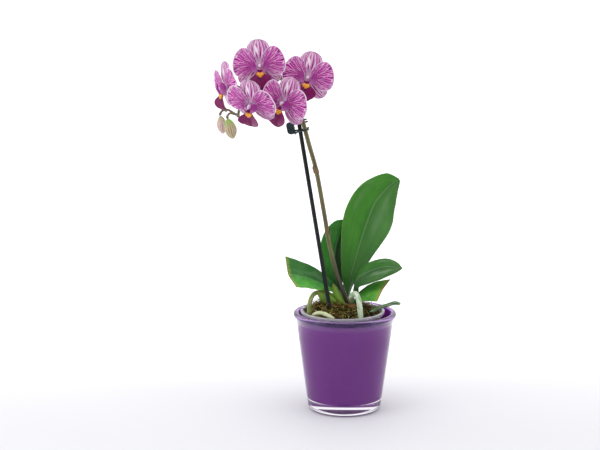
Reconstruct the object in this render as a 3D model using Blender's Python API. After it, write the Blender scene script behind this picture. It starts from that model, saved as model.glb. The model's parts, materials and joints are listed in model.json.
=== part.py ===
"""A moth orchid in flower. It grows in a clear plastic pot of bark and moss, the pot stands in a glass jar
with a purple lining, and a sprung claw clip holds the flower spike to a stake.

Metres, +Z up. The origin is the middle of the jar's foot, and the flowers face -Y.
"""

import math

import bmesh
import bpy
from mathutils import Matrix, Vector

MM = 0.001
GAP = 0.3 * MM  # between pieces that touch

# Glass jar: a thick-based tapered tumbler with a proud rounded lip.
JAR_HEIGHT = 106.5 * MM
JAR_FOOT_RADIUS = 38.8 * MM  # where the line of the wall meets the table
JAR_MOUTH_RADIUS = 53.2 * MM  # where the line of the wall meets the rim
JAR_WALL = 3.4 * MM
JAR_BASE = 12.5 * MM
FOOT_ROUNDING = 6.5 * MM
LIP_HEIGHT = 5.0 * MM
LIP_OVERHANG = 1.9 * MM
LINING_WALL = 0.6 * MM
LINING_BELOW_RIM = 1.2 * MM
JAR_SEGMENTS = 44

# Clear plastic nursery pot, a little off the jar's middle.
POT_PROUD = 1.7 * MM  # of the jar's rim
POT_WALL = 0.8 * MM
POT_SHIFT = -2.4 * MM  # along X
POT_RIM_CLEARANCE = 1.3 * MM  # to the lining, on the side it leans to
POT_FOOT_RADIUS = 31.5 * MM
POT_RIM_WIDTH = 2.0 * MM
POT_RIM_DROP = 3.0 * MM
DRAIN_HOLES = 6
DRAIN_HOLE_RADIUS = 3.0 * MM
DRAIN_RING_RADIUS = 20.0 * MM

# Bark and moss.
SOIL_BELOW_RIM = 4.5 * MM
SOIL_MOUND = 11.0 * MM
SOIL_TUFT = 6.0 * MM
SOIL_SEGMENTS = 26
CHIP_THICKNESS = 2.2 * MM
CHIP_CLEARANCE = 0.8 * MM  # over the highest lump beneath it

# Plant.
CROWN_RADIUS = 5.5 * MM
CROWN_HEIGHT = 17.0 * MM  # above the level of the soil's edge
LEAF_THICKNESS = 1.5 * MM
ROOT_RADIUS = 2.5 * MM
SPIKE_HEIGHT = 253.0 * MM  # from the soil's edge to the top of the arch
SPIKE_FOOT_RADIUS = 2.3 * MM
SPIKE_RADIUS = 2.4 * MM
SPIKE_TIP_RADIUS = 1.5 * MM
SPIKE_POINTS = 38
BRACTS = (0.318, 0.607)  # heights on the spike, as shares of SPIKE_HEIGHT
PEDICEL_RADIUS = 1.2 * MM
STAKE_RADIUS = 2.2 * MM
STAKE_FOOT = (0.025, -0.903)  # X and Y from the pot's middle, as shares of its foot's radius
STAKE_OFF_FLOOR = 9.2 * MM
STAKE_SIDE = (-0.83, 0.56, 0.0)  # from the spike towards the stake, at the clip
STAKE_CLEARANCE = 1.2 * MM  # to the spike, at the clip
STAKE_ABOVE_CLIP = 7.5 * MM  # from the clip's middle

# Flower, in its own frame: X to the right, Z up, facing -Y.
PETAL_LENGTH = 24.6 * MM
PETAL_WIDTH = 30.5 * MM
SEPAL_LENGTH = 23.6 * MM
DORSAL_WIDTH = 22.0 * MM
LATERAL_WIDTH = 19.0 * MM
TEPAL_THICKNESS = 0.9 * MM
TEPAL_START = 3.0 * MM  # from the flower's axis
PETAL_DEPTH = -0.5 * MM  # of the petals' start, behind the flower's centre
PETAL_BACK = 1.5 * MM  # of the petals' tips, behind their start
SEPAL_DEPTH = 1.1 * MM
SEPAL_BACK = 5.0 * MM
COLUMN_RADIUS = 1.9 * MM
COLUMN_LENGTH = 7.0 * MM
LIP_LENGTH = 17.0 * MM
LIP_WIDTH = 17.0 * MM

# Clip, in its own frame: Z along the pin, X towards the spike, Y away from the viewer.
CLIP_RING_CLEARANCE = 1.2 * MM  # around the spike and the stake
CLIP_PRONG = 1.1 * MM
CLIP_EAR_RADIUS = 2.2 * MM
CLIP_PIN_RADIUS = 0.7 * MM
CLIP_HOLE_RADIUS = 1.0 * MM
CLIP_PAD_LENGTH = 7.6 * MM
CLIP_PAD_HEIGHT = 12.8 * MM
CLIP_PAD_THICKNESS = 1.4 * MM
CLIP_PAD_OFFSET = 4.2 * MM
CLIP_PAD_SPLAY = math.radians(12)
SPRING_RADIUS = 1.35 * MM
SPRING_WIRE = 0.22 * MM
CLIP_HEIGHT_ON_SPIKE = 0.795  # share of SPIKE_HEIGHT

# What follows from the sizes above.
LINING_FLOOR = JAR_BASE + GAP + LINING_WALL
POT_FLOOR = LINING_FLOOR + GAP
POT_TOP = JAR_HEIGHT + POT_PROUD
SOIL_EDGE = POT_TOP - SOIL_BELOW_RIM


def jar_inside(height):
    """Radius of the glass wall's inner side at a height."""
    rise = (JAR_MOUTH_RADIUS - JAR_FOOT_RADIUS) / JAR_HEIGHT
    return JAR_FOOT_RADIUS - JAR_WALL + rise * height


LINING_TOP = JAR_HEIGHT - LINING_BELOW_RIM
LINING_INSIDE_TOP = jar_inside(LINING_TOP) - GAP - LINING_WALL
POT_RIM_RADIUS = LINING_INSIDE_TOP - abs(POT_SHIFT) - POT_RIM_CLEARANCE
POT_MOUTH_RADIUS = POT_RIM_RADIUS - POT_RIM_WIDTH


def pot_outside(height):
    """Radius of the nursery pot's wall, outside, at a height."""
    share = (height - POT_FLOOR) / (POT_TOP - POT_FLOOR)
    return POT_FOOT_RADIUS + (POT_MOUTH_RADIUS - POT_FOOT_RADIUS) * share


SOIL_RADIUS = pot_outside(SOIL_EDGE) - POT_WALL - GAP


# ---------------------------------------------------------------- finishes


def finish(name, color, roughness, metallic=0.0, transmission=0.0):
    made = bpy.data.materials.new(name)
    made.use_nodes = True
    shader = made.node_tree.nodes["Principled BSDF"]
    shader.inputs["Base Color"].default_value = (*color, 1.0)
    shader.inputs["Roughness"].default_value = roughness
    shader.inputs["Metallic"].default_value = metallic
    shader.inputs["Transmission Weight"].default_value = transmission
    made.diffuse_color = (*color, 1.0)
    return made


def make_finishes():
    return {
        "glass": finish("clear_glass", (0.92, 0.90, 0.95), 0.05, transmission=0.9),
        "lining": finish("purple_lining", (0.20, 0.05, 0.30), 0.3),
        "clear plastic": finish("clear_plastic", (0.80, 0.82, 0.80), 0.15, transmission=0.8),
        "soil": finish("bark_and_moss", (0.12, 0.08, 0.03), 0.9),
        "bark": finish("bark", (0.22, 0.12, 0.05), 0.85),
        "leaf": finish("leaf_green", (0.06, 0.22, 0.03), 0.35),
        "crown": finish("crown_green", (0.20, 0.30, 0.05), 0.5),
        "root": finish("root_green", (0.30, 0.36, 0.18), 0.6),
        "spike": finish("spike_brown", (0.12, 0.10, 0.05), 0.45),
        "stake": finish("stake_black", (0.02, 0.03, 0.03), 0.4),
        "clip": finish("clip_plastic", (0.01, 0.04, 0.04), 0.35),
        "steel": finish("spring_steel", (0.55, 0.55, 0.56), 0.3, metallic=1.0),
        "petal": finish("petal_magenta", (0.45, 0.05, 0.36), 0.5),
        "sepal": finish("sepal_pink", (0.50, 0.10, 0.42), 0.5),
        "lip": finish("lip_crimson", (0.22, 0.01, 0.13), 0.45),
        "column": finish("column_pink", (0.70, 0.35, 0.62), 0.45),
        "bud": finish("bud_olive", (0.42, 0.32, 0.24), 0.55),
    }


# ---------------------------------------------------------------- making shapes


def clear_scene():
    for thing in list(bpy.data.objects):
        bpy.data.objects.remove(thing, do_unlink=True)


def at(x, y, z):
    return Vector((x, y, z)) * MM


def place(name, mesh, material, parent=None):
    """A new object in the scene with this mesh and this finish."""
    thing = bpy.data.objects.new(name, mesh)
    bpy.context.scene.collection.objects.link(thing)
    if not mesh.materials:
        mesh.materials.append(material)
    thing.parent = parent
    return thing


def mesh_from(shape, name):
    """Turns a bmesh into a smooth-shaded mesh with its faces pointing out."""
    bmesh.ops.recalc_face_normals(shape, faces=shape.faces)
    mesh = bpy.data.meshes.new(name)
    shape.to_mesh(mesh)
    shape.free()
    mesh.shade_smooth()
    mesh.set_sharp_from_angle(angle=math.radians(40))
    return mesh


def baked(thing):
    """Replaces an object's mesh with its evaluated one, so that its modifiers are no longer needed."""
    bpy.context.view_layer.update()
    evaluated = thing.evaluated_get(bpy.context.evaluated_depsgraph_get())
    mesh = bpy.data.meshes.new_from_object(evaluated)
    thing.modifiers.clear()
    thing.data = mesh
    return thing


def combine(target, others, operation):
    """Boolean of the target with each of the others in turn. The others are used up."""
    for other in others:
        modifier = target.modifiers.new(other.name, "BOOLEAN")
        modifier.operation = operation
        modifier.solver = "EXACT"
        modifier.object = other
        other.hide_render = True
        other.display_type = "WIRE"
    baked(target)
    for other in others:
        bpy.data.objects.remove(other, do_unlink=True)
    return target


def spline(points, count):
    """Points evenly spread along a smooth curve through the given points."""
    ends = [2 * points[0] - points[1], *points, 2 * points[-1] - points[-2]]
    fine = []
    for before, start, end, after in zip(ends, ends[1:], ends[2:], ends[3:]):
        for step in range(12):
            t = step / 12
            fine.append(
                0.5
                * (
                    2 * start
                    + (end - before) * t
                    + (2 * before - 5 * start + 4 * end - after) * t**2
                    + (3 * start - before - 3 * end + after) * t**3
                )
            )
    fine.append(points[-1].copy())
    reach = [0.0]
    for here, there in zip(fine, fine[1:]):
        reach.append(reach[-1] + (there - here).length)
    spread = []
    stretch_now = 0
    for number in range(count):
        wanted = reach[-1] * number / (count - 1)
        while stretch_now < len(fine) - 2 and reach[stretch_now + 1] < wanted:
            stretch_now += 1
        stretch = reach[stretch_now + 1] - reach[stretch_now]
        share = (wanted - reach[stretch_now]) / stretch
        spread.append(fine[stretch_now].lerp(fine[stretch_now + 1], share))
    return spread


def between(table, t):
    """Value at t in a list of (t, value) pairs, eased between neighbours."""
    for (low, first), (high, second) in zip(table, table[1:]):
        if t <= high:
            share = max(0.0, (t - low) / (high - low))
            return first + (second - first) * share * share * (3 - 2 * share)
    return table[-1][1]


def directions(path):
    tangents = []
    for number in range(len(path)):
        before = path[max(number - 1, 0)]
        after = path[min(number + 1, len(path) - 1)]
        tangents.append((after - before).normalized())
    return tangents


def tube(name, material, path, radii, sides=8, parent=None):
    """A round bar along the path, with a radius at each of its points and a flat end at each end."""
    shape = bmesh.new()
    tangents = directions(path)
    across = tangents[0].orthogonal().normalized()
    rings = []
    for point, tangent, radius in zip(path, tangents, radii):
        across = (across - tangent * across.dot(tangent)).normalized()
        other = tangent.cross(across)
        turns = [2 * math.pi * side / sides for side in range(sides)]
        rings.append(
            [shape.verts.new(point + (across * math.cos(a) + other * math.sin(a)) * radius) for a in turns]
        )
    for low, high in zip(rings, rings[1:]):
        for side in range(sides):
            after = (side + 1) % sides
            shape.faces.new((low[side], low[after], high[after], high[side]))
    shape.faces.new(rings[0])
    shape.faces.new(rings[-1])
    return place(name, mesh_from(shape, name), material, parent)


def turned(name, material, profile, segments, center=(0.0, 0.0)):
    """A solid of revolution about a vertical axis. The profile's first and last points are on the axis, and
    each flat end is one face."""
    shape = bmesh.new()
    points = [shape.verts.new((center[0] + radius, center[1], height)) for radius, height in profile]
    edges = [shape.edges.new(pair) for pair in zip(points, points[1:])]
    bmesh.ops.spin(
        shape,
        geom=points + edges,
        cent=(*center, 0.0),
        axis=(0.0, 0.0, 1.0),
        dvec=(0.0, 0.0, 0.0),
        angle=2 * math.pi,
        steps=segments,
        use_merge=True,
    )
    bmesh.ops.remove_doubles(shape, verts=shape.verts, dist=1e-6)
    on_axis = [v for v in shape.verts if math.hypot(v.co.x - center[0], v.co.y - center[1]) < 1e-6]
    bmesh.ops.dissolve_verts(shape, verts=on_axis)
    return place(name, mesh_from(shape, name), material)


def arc(center_r, center_z, radius, first, last, steps):
    """Points of an arc in a turned profile, with its angles in degrees from +R towards +Z."""
    made = []
    for step in range(steps + 1):
        angle = math.radians(first + (last - first) * step / steps)
        made.append((center_r + radius * math.cos(angle), center_z + radius * math.sin(angle)))
    return made


def prism(name, material, outline, low, high, parent=None):
    """An outline in X and Y, extruded along Z from low to high."""
    shape = bmesh.new()
    face = shape.faces.new([shape.verts.new((x, y, low)) for x, y in outline])
    risen = bmesh.ops.extrude_face_region(shape, geom=[face])
    tops = [part for part in risen["geom"] if isinstance(part, bmesh.types.BMVert)]
    bmesh.ops.translate(shape, verts=tops, vec=(0.0, 0.0, high - low))
    return place(name, mesh_from(shape, name), material, parent)


def circle(x, y, radius, sides):
    turns = [2 * math.pi * side / sides for side in range(sides)]
    return [(x + radius * math.cos(a), y + radius * math.sin(a)) for a in turns]


def blade(name, material, midrib, side, widths, fold, thickness, rows=9, columns=6, curl=0.0, slant=0.0):
    """A leaf or petal. Its rows cross the midrib along the side direction. widths holds (share of the
    length, half width) pairs. fold is the angle by which both halves rise towards the face, and curl bends
    the margins back by that share of the half width. side is one direction, or one at each end. slant is
    how far the cut across the far end runs out at the side's margin, as a share of the half width."""
    path = spline(midrib, rows)
    first, last = side if isinstance(side, tuple) else (side, side)
    shape = bmesh.new()
    grid = []
    for number, (point, tangent) in enumerate(zip(path, directions(path))):
        t = number / (rows - 1)
        across = first.lerp(last, t)
        across = (across - tangent * across.dot(tangent)).normalized()
        face = tangent.cross(across)
        half = between(widths, t)
        row = []
        for column in range(columns + 1):
            v = 2 * column / columns - 1
            rise = math.sin(fold) * abs(v) - curl * abs(v) ** 3
            offset = across * v * math.cos(fold) + face * rise + tangent * slant * v * t**3
            row.append(shape.verts.new(point + offset * half))
        grid.append(row)
    for low, high in zip(grid, grid[1:]):
        for column in range(columns):
            shape.faces.new((low[column], low[column + 1], high[column + 1], high[column]))
    made = place(name, mesh_from(shape, name), material)
    wall = made.modifiers.new("thickness", "SOLIDIFY")
    wall.thickness = thickness
    wall.offset = 0.0
    return made


# ---------------------------------------------------------------- jar and pot


def make_jar(finishes):
    rise = (JAR_MOUTH_RADIUS - JAR_FOOT_RADIUS) / JAR_HEIGHT
    shoulder = JAR_HEIGHT - LIP_HEIGHT
    lip_middle = JAR_HEIGHT - LIP_HEIGHT / 2
    lip_outside = JAR_MOUTH_RADIUS + LIP_OVERHANG
    corner_z = FOOT_ROUNDING
    corner_r = JAR_FOOT_RADIUS + rise * corner_z - FOOT_ROUNDING
    inner_round = 2.5 * MM
    outside = [(0.0, 0.0), *arc(corner_r, corner_z, FOOT_ROUNDING, -90, 0, 5)]
    outside += [(JAR_FOOT_RADIUS + rise * shoulder, shoulder)]
    outside += arc(lip_outside - LIP_HEIGHT / 2, lip_middle, LIP_HEIGHT / 2, -60, 90, 5)
    lip_inside = jar_inside(JAR_HEIGHT)
    inside = [(lip_inside + 0.8 * MM, JAR_HEIGHT), (lip_inside, JAR_HEIGHT - 0.8 * MM)]
    floor_r = jar_inside(JAR_BASE + inner_round) - inner_round
    inside += arc(floor_r, JAR_BASE + inner_round, inner_round, 0, -90, 3)
    inside += [(0.0, JAR_BASE)]
    turned("glass_jar", finishes["glass"], outside + inside, JAR_SEGMENTS)

    outer_round = inner_round - GAP
    inner = outer_round - LINING_WALL
    bottom = JAR_BASE + GAP
    profile = [(0.0, bottom), *arc(floor_r, bottom + outer_round, outer_round, -90, 0, 3)]
    profile += [(jar_inside(LINING_TOP) - GAP, LINING_TOP), (LINING_INSIDE_TOP, LINING_TOP)]
    profile += arc(floor_r, bottom + outer_round, inner, 0, -90, 3)
    profile += [(0.0, LINING_FLOOR)]
    turned("jar_lining", finishes["lining"], profile, JAR_SEGMENTS)


def make_nursery_pot(finishes):
    middle = (POT_SHIFT, 0.0)
    under_rim = POT_TOP - POT_WALL
    profile = [
        (0.0, POT_FLOOR),
        (POT_FOOT_RADIUS, POT_FLOOR),
        (pot_outside(under_rim), under_rim),
        (POT_RIM_RADIUS - POT_WALL, under_rim),
        (POT_RIM_RADIUS - POT_WALL, POT_TOP - POT_RIM_DROP),
        (POT_RIM_RADIUS, POT_TOP - POT_RIM_DROP),
        (POT_RIM_RADIUS, POT_TOP),
        (pot_outside(POT_TOP) - POT_WALL, POT_TOP),
        (POT_FOOT_RADIUS - POT_WALL, POT_FLOOR + POT_WALL),
        (0.0, POT_FLOOR + POT_WALL),
    ]
    pot = turned("nursery_pot", finishes["clear plastic"], profile, JAR_SEGMENTS, middle)
    drills = []
    for number in range(DRAIN_HOLES):
        angle = 2 * math.pi * number / DRAIN_HOLES
        x = POT_SHIFT + DRAIN_RING_RADIUS * math.cos(angle)
        y = DRAIN_RING_RADIUS * math.sin(angle)
        outline = circle(x, y, DRAIN_HOLE_RADIUS, 10)
        low, high = POT_FLOOR - POT_WALL, POT_FLOOR + 2 * POT_WALL
        drills.append(prism(f"drain_{number}", finishes["clear plastic"], outline, low, high))
    combine(pot, drills, "DIFFERENCE")
    return pot


def soil_height(x, y):
    """Height of the bark's surface, for X and Y from the pot's middle: a low mound with a tuft of moss."""
    reach = min(1.0, math.hypot(x, y) / SOIL_RADIUS)
    mound = SOIL_MOUND * (1 - reach**2)
    tuft_x, tuft_y, tuft_size = -0.36 * SOIL_RADIUS, 0.0, 0.24 * SOIL_RADIUS
    tuft = SOIL_TUFT * math.exp(-(((x - tuft_x) ** 2 + (y - tuft_y) ** 2) / tuft_size**2))
    lumps = 0.9 * MM * math.sin(x * 420 + 1.3) * math.cos(y * 380 + 0.4) * (1 - reach**4)
    return SOIL_EDGE + mound + tuft + lumps


def make_soil(finishes, buried):
    """The bark and moss that fill the pot, with a socket for each buried piece."""
    shape = bmesh.new()
    steps = (0.0, 0.2, 0.4, 0.6, 0.8, 1.0)
    floor = POT_FLOOR + POT_WALL + GAP
    foot_radius = pot_outside(floor) - POT_WALL - GAP
    rings = []
    for step in steps[1:]:
        ring = []
        for x, y in circle(0.0, 0.0, SOIL_RADIUS * step, SOIL_SEGMENTS):
            ring.append(shape.verts.new((x + POT_SHIFT, y, soil_height(x, y))))
        rings.append(ring)
    foot = circle(0.0, 0.0, foot_radius, SOIL_SEGMENTS)
    rings.append([shape.verts.new((x + POT_SHIFT, y, floor)) for x, y in foot])
    top = shape.verts.new((POT_SHIFT, 0.0, soil_height(0.0, 0.0)))
    for number in range(SOIL_SEGMENTS):
        after = (number + 1) % SOIL_SEGMENTS
        shape.faces.new((top, rings[0][number], rings[0][after]))
        for inner, outer in zip(rings, rings[1:]):
            shape.faces.new((inner[number], outer[number], outer[after], inner[after]))
    shape.faces.new(rings[-1])
    soil = place("potting_mix", mesh_from(shape, "potting_mix"), finishes["soil"])
    combine(soil, buried, "DIFFERENCE")


def on_soil(share_x, share_y, height):
    """A point over the soil: X and Y as shares of the soil's radius, and a height above its edge."""
    return Vector((POT_SHIFT + share_x * SOIL_RADIUS, share_y * SOIL_RADIUS, SOIL_EDGE + height * MM))


def make_bark_chips(finishes):
    """Two flakes of bark that lie on the mound."""
    chips = [
        # share_x, share_y, length, width, turn
        (0.60, -0.06, 13.0, 7.0, 25),
        (-0.64, -0.06, 11.0, 6.0, -35),
    ]
    for number, (share_x, share_y, length, width, turn) in enumerate(chips, 1):
        outline = [(-0.5, -0.3), (-0.2, -0.5), (0.35, -0.42), (0.5, 0.1), (0.15, 0.5), (-0.4, 0.38)]
        outline = [(x * length * MM, y * width * MM) for x, y in outline]
        chip = prism(f"bark_chip_{number}", finishes["bark"], outline, 0.0, CHIP_THICKNESS)
        x, y = share_x * SOIL_RADIUS, share_y * SOIL_RADIUS
        slope = math.atan2(2 * SOIL_MOUND * math.hypot(share_x, share_y), SOIL_RADIUS)
        outward = math.atan2(y, x)
        tilt = Matrix.Rotation(slope, 3, Vector((-math.sin(outward), math.cos(outward), 0)))
        turned_to = tilt @ Matrix.Rotation(math.radians(turn), 3, "Z")
        lift = 0.0
        for corner in outline:
            for share in (0.0, 0.5, 1.0):
                under = turned_to @ Vector((*corner, 0.0)) * share
                lift = max(lift, soil_height(x + under.x, y + under.y) - under.z)
        chip.rotation_euler = turned_to.to_euler()
        chip.location = (POT_SHIFT + x, y, lift + CHIP_CLEARANCE)


# ---------------------------------------------------------------- plant


def plant_point(x, y, height):
    """A point of the plant: X and Y from the jar's middle and a height above the soil's edge, in mm."""
    return Vector((x * MM, y * MM, SOIL_EDGE + height * MM))


def from_stake(x, y, height):
    """A point of the plant: X and Y from the stake's line and a height above the soil's edge, in mm."""
    foot, top = stake_line()
    share = (SOIL_EDGE + height * MM - foot.z) / (top.z - foot.z)
    return foot.lerp(top, share) + at(x, y, 0)


def make_crown(finishes, extra=0.0):
    """The short stem that the leaves grow from. extra makes it larger, as the tool for its socket."""
    base = plant_point(3.0, 6.0, -14.0)
    top = plant_point(3.0, 6.0, 0.0)
    top.z = SOIL_EDGE + CROWN_HEIGHT
    path = [base.lerp(top, t) for t in (0.0, 0.25, 0.5, 0.75, 0.92, 1.0)]
    radii = [CROWN_RADIUS * share + extra for share in (0.7, 0.95, 1.0, 0.95, 0.8, 0.5)]
    path[0].z -= extra
    return tube("crown", finishes["crown"], path, radii, sides=10)


def make_leaves(finishes):
    """Five leaves. The last two were cut short across."""
    leaves = {
        "leaf_tall": dict(
            midrib=[
                (2.5, 5, 18.5),
                (5.4, 4, 37),
                (8.5, 6, 49),
                (15.0, 9, 71.5),
                (22.5, 14, 94),
                (32, 20, 117),
                (46.5, 25, 134),
                (58.5, 26, 141.5),
            ],
            side=(at(1, 0.15, 0), at(0.75, 0.25, -0.6)),
            widths=[(0, 4.5), (0.12, 6.5), (0.32, 17), (0.6, 26.5), (0.8, 23.5), (0.93, 14.5), (1, 5)],
            fold=14,
            rows=13,
        ),
        "leaf_behind": dict(
            midrib=[
                (-3.5, 11, 18.5),
                (-9.4, 11, 34),
                (-11.5, 13, 54.5),
                (-9.5, 17, 71),
                (-4.5, 23, 86),
                (3.0, 29, 97),
            ],
            side=(at(1, 0.1, 0.15), at(0.8, 0.35, -0.3)),
            widths=[(0, 4), (0.15, 6), (0.48, 15.5), (0.72, 16.5), (0.9, 11), (1, 4)],
            fold=24,
            rows=10,
        ),
        "leaf_right": dict(
            midrib=[
                (8, -3, 23),
                (12, -7, 38),
                (22.9, -12, 47.5),
                (34.7, -16, 53),
                (45.9, -20, 55.5),
                (59, -24, 54.5),
            ],
            side=(at(0.1, -0.7, -0.7), at(0, -0.75, -0.65)),
            widths=[(0, 3.8), (0.14, 6), (0.42, 13), (0.68, 13.5), (0.88, 9), (1, 3)],
            fold=12,
            rows=10,
        ),
        "leaf_right_cut": dict(
            midrib=[(8.5, -5, 17.5), (16.5, -10, 22.5), (28.3, -14, 28.5), (39.7, -18, 31)],
            side=(at(0, -0.75, -0.65), at(-0.49, -0.57, -0.66)),
            widths=[(0, 3.5), (0.3, 8), (0.7, 13), (1, 14.5)],
            fold=10,
            rows=7,
            slant=-0.42,
        ),
        "leaf_left_cut": dict(
            midrib=[(-7, 1, 22)],
            past_stake=[(6.5, 13.6, 27), (-4.0, 10.0, 33.5), (-20.2, 2.0, 41), (-37.7, -5.8, 46.5)],
            side=(at(0, 0.65, 0.75), at(-0.2, 0.62, 0.76)),
            widths=[(0, 3.5), (0.2, 7), (0.5, 14), (0.8, 17.5), (1, 19.5)],
            fold=-22,
            rows=8,
            slant=0.3,
        ),
    }
    for name, leaf in leaves.items():
        midrib = [plant_point(*point) for point in leaf["midrib"]]
        midrib += [from_stake(*point) for point in leaf.get("past_stake", [])]
        widths = [(share, half * MM) for share, half in leaf["widths"]]
        blade(
            name,
            finishes["leaf"],
            midrib,
            leaf["side"],
            widths,
            math.radians(leaf["fold"]),
            LEAF_THICKNESS,
            rows=leaf["rows"],
            slant=leaf.get("slant", 0.0),
        )


ROOTS = {
    # path: X and Y as shares of the soil's radius, and heights above its edge in mm
    "root_left": dict(
        path=[
            (-0.14, -0.02, 17),
            (-0.36, -0.06, 22),
            (-0.58, -0.12, 25),
            (-0.76, -0.22, 23),
            (-0.85, -0.28, 15),
            (-0.86, -0.29, 6),
            (-0.84, -0.29, -6),
        ],
        thickness=1.0,
        count=13,
    ),
    "root_front": dict(
        path=[
            (0.16, -0.34, 21),
            (0.28, -0.52, 27),
            (0.36, -0.66, 25),
            (0.41, -0.74, 16),
            (0.43, -0.77, 7),
            (0.44, -0.78, -6),
        ],
        thickness=1.15,
        count=12,
    ),
    "root_over_rim": dict(
        path=[
            (0.62, -0.40, -4),
            (0.72, -0.42, 5.5),
            (0.92, -0.38, 10.5),
            (1.12, -0.34, 12.5),
            (1.32, -0.34, 15),
            (1.48, -0.34, 14),
        ],
        thickness=0.85,
        count=12,
    ),
    "root_pale": dict(
        path=[
            (-0.80, -0.46, -3),
            (-0.74, -0.54, 4),
            (-0.60, -0.66, 7.5),
            (-0.42, -0.76, 6),
            (-0.26, -0.82, 2),
            (-0.18, -0.84, -5),
        ],
        thickness=0.9,
        count=12,
    ),
}


def make_roots(finishes, extra=0.0):
    made = []
    for name, root in ROOTS.items():
        path = spline([on_soil(*point) for point in root["path"]], root["count"])
        radii = [ROOT_RADIUS * root["thickness"] + extra] * root["count"]
        made.append(tube(name, finishes["root"], path, radii, sides=7))
    return made


def spike_path():
    """Points of the spike: X and Y in mm from the jar's middle, and height as a share of SPIKE_HEIGHT."""
    points = [
        (2.6, -3.0, 0.020),
        (1.1, -4.0, 0.066),
        (-4.9, -6.0, 0.134),
        (-10.8, -6.0, 0.204),
        (-17.5, -5.0, 0.318),
        (-22.4, -2.0, 0.432),
        (-30.6, 0.0, 0.607),
        (-38.5, 4.0, 0.720),
        (-48.0, 10.0, 0.854),
        (-55.4, 16.0, 0.937),
        (-65.9, 18.0, 0.984),
        (-79.6, 16.0, 1.0),
        (-94.2, 12.0, 0.986),
        (-104.7, 8.0, 0.938),
        (-110.9, 4.0, 0.881),
        (-112.9, 0.0, 0.834),
    ]
    return [Vector((x * MM, y * MM, SOIL_EDGE + share * SPIKE_HEIGHT)) for x, y, share in points]


def spike_at(share):
    """Point of the rising part of the spike at a share of its height."""
    points = spike_path()
    wanted = SOIL_EDGE + share * SPIKE_HEIGHT
    for low, high in zip(points, points[1:]):
        if low.z <= wanted <= high.z:
            return low.lerp(high, (wanted - low.z) / (high.z - low.z))
    return points[-1]


FLOWERS = [
    # point of the spike, centre from that point in mm, yaw, pitch, roll in degrees, bends of its stalk
    dict(joint=10, centre=(-24.0, -38.0, 17.0), turn=(5, 4, -4), bends=[(-8, -4, 11), (-20, -16, 19)]),
    dict(joint=8, centre=(8.3, -15.0, 37.0), turn=(-5, 3, 11), bends=[(4, 4, 20), (8, -1, 34)]),
    dict(joint=9, centre=(-8.9, -55.0, -7.6), turn=(-33, 8, 18), bends=[(-11, -10, -2), (-11, -30, -7)]),
    dict(joint=11, centre=(-17.9, -66.0, -23.8), turn=(-32, 34, 10), bends=[(-3, -14, -5), (-8, -36, -14)]),
    dict(joint=13, centre=(-21.2, 2.0, 4.5), turn=(-62, 12, -6), bends=[(-6, 3, 4)]),
]

BUDS = {
    # centre, from the tip of the spike in mm, axis, length, width, bends of its stalk
    "bud_small": dict(
        centre=(-17.0, 0, -7.6),
        axis=(0.14, 0, -1),
        size=(19.6, 11.4),
        bends=[(-5.5, 1, 5), (-11, 0, 8), (-16, 0, 7)],
    ),
    "bud_large": dict(
        centre=(-7.4, -13, -10.4),
        axis=(0.26, 0, -1),
        size=(22.4, 13.4),
        bends=[(-3, -4, 3.5), (-8, -9, 5)],
    ),
}
STALK_END = 2.4 * MM  # behind the flower's centre


def flower_matrix(flower):
    yaw, pitch, roll = (math.radians(angle) for angle in flower["turn"])
    turn = Matrix.Rotation(yaw, 4, "Z") @ Matrix.Rotation(pitch, 4, "X") @ Matrix.Rotation(roll, 4, "Y")
    return Matrix.Translation(spike_path()[flower["joint"]] + at(*flower["centre"])) @ turn


def spike_course():
    """Points along the spike from its foot to its tip, and its radius at each."""
    stages = [(0, SPIKE_FOOT_RADIUS), (0.45, SPIKE_RADIUS), (0.65, SPIKE_RADIUS), (1, SPIKE_TIP_RADIUS)]
    path = spline(spike_path(), SPIKE_POINTS)
    return path, [between(stages, number / (SPIKE_POINTS - 1)) for number in range(SPIKE_POINTS)]


def make_spike(finishes):
    """The spike, its arch, the stalks of the flowers and buds, and a bract at each node: one grown piece."""
    points = spike_path()
    spike = tube("flower_spike", finishes["spike"], *spike_course(), sides=8)

    limbs = []
    for number, flower in enumerate(FLOWERS):
        start = points[flower["joint"]]
        matrix = flower_matrix(flower)
        bends = [start + at(*bend) for bend in flower["bends"]]
        straight = matrix @ Vector((0.0, STALK_END + 6.0 * MM, 0.0))
        end = matrix @ Vector((0.0, STALK_END, 0.0))
        stalk = spline([start, *bends, straight, end], 11)
        limbs.append(tube(f"stalk_{number}", finishes["spike"], stalk, [PEDICEL_RADIUS] * 11, sides=6))
    for name, bud in BUDS.items():
        start = points[-1]
        axis = Vector(bud["axis"]).normalized()
        top = start + at(*bud["centre"]) - axis * (bud["size"][0] / 2 * MM + 2 * GAP)
        inset = start.lerp(points[-2], 0.15)
        bends = [start + at(*bend) for bend in bud["bends"]]
        stalk = spline([inset, *bends, top - axis * 1.5 * MM, top], 9)
        limbs.append(tube(f"stalk_{name}", finishes["spike"], stalk, [PEDICEL_RADIUS] * 9, sides=6))
    for share in BRACTS:
        low, high = spike_at(share - 0.012), spike_at(share + 0.03)
        bract = [low, low.lerp(high, 0.35), high]
        radii = [SPIKE_RADIUS * swell for swell in (0.9, 1.22, 1.0)]
        limbs.append(tube(f"bract_{share}", finishes["spike"], bract, radii, sides=7))
    return combine(spike, limbs, "UNION")


def make_buds(finishes):
    tip = spike_path()[-1]
    for name, bud in BUDS.items():
        length, width = (size * MM for size in bud["size"])
        axis = Vector(bud["axis"]).normalized()
        middle = tip + at(*bud["centre"])
        path = []
        radii = []
        for share in (0.0, 0.06, 0.2, 0.4, 0.6, 0.8, 0.94, 1.0):
            path.append(middle + axis * length * (share - 0.5))
            radii.append(width / 2 * max(0.16, math.sin(math.pi * share) ** 0.62 * (0.86 + 0.2 * share)))
        tube(name, finishes["bud"], path, radii, sides=8)


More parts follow.
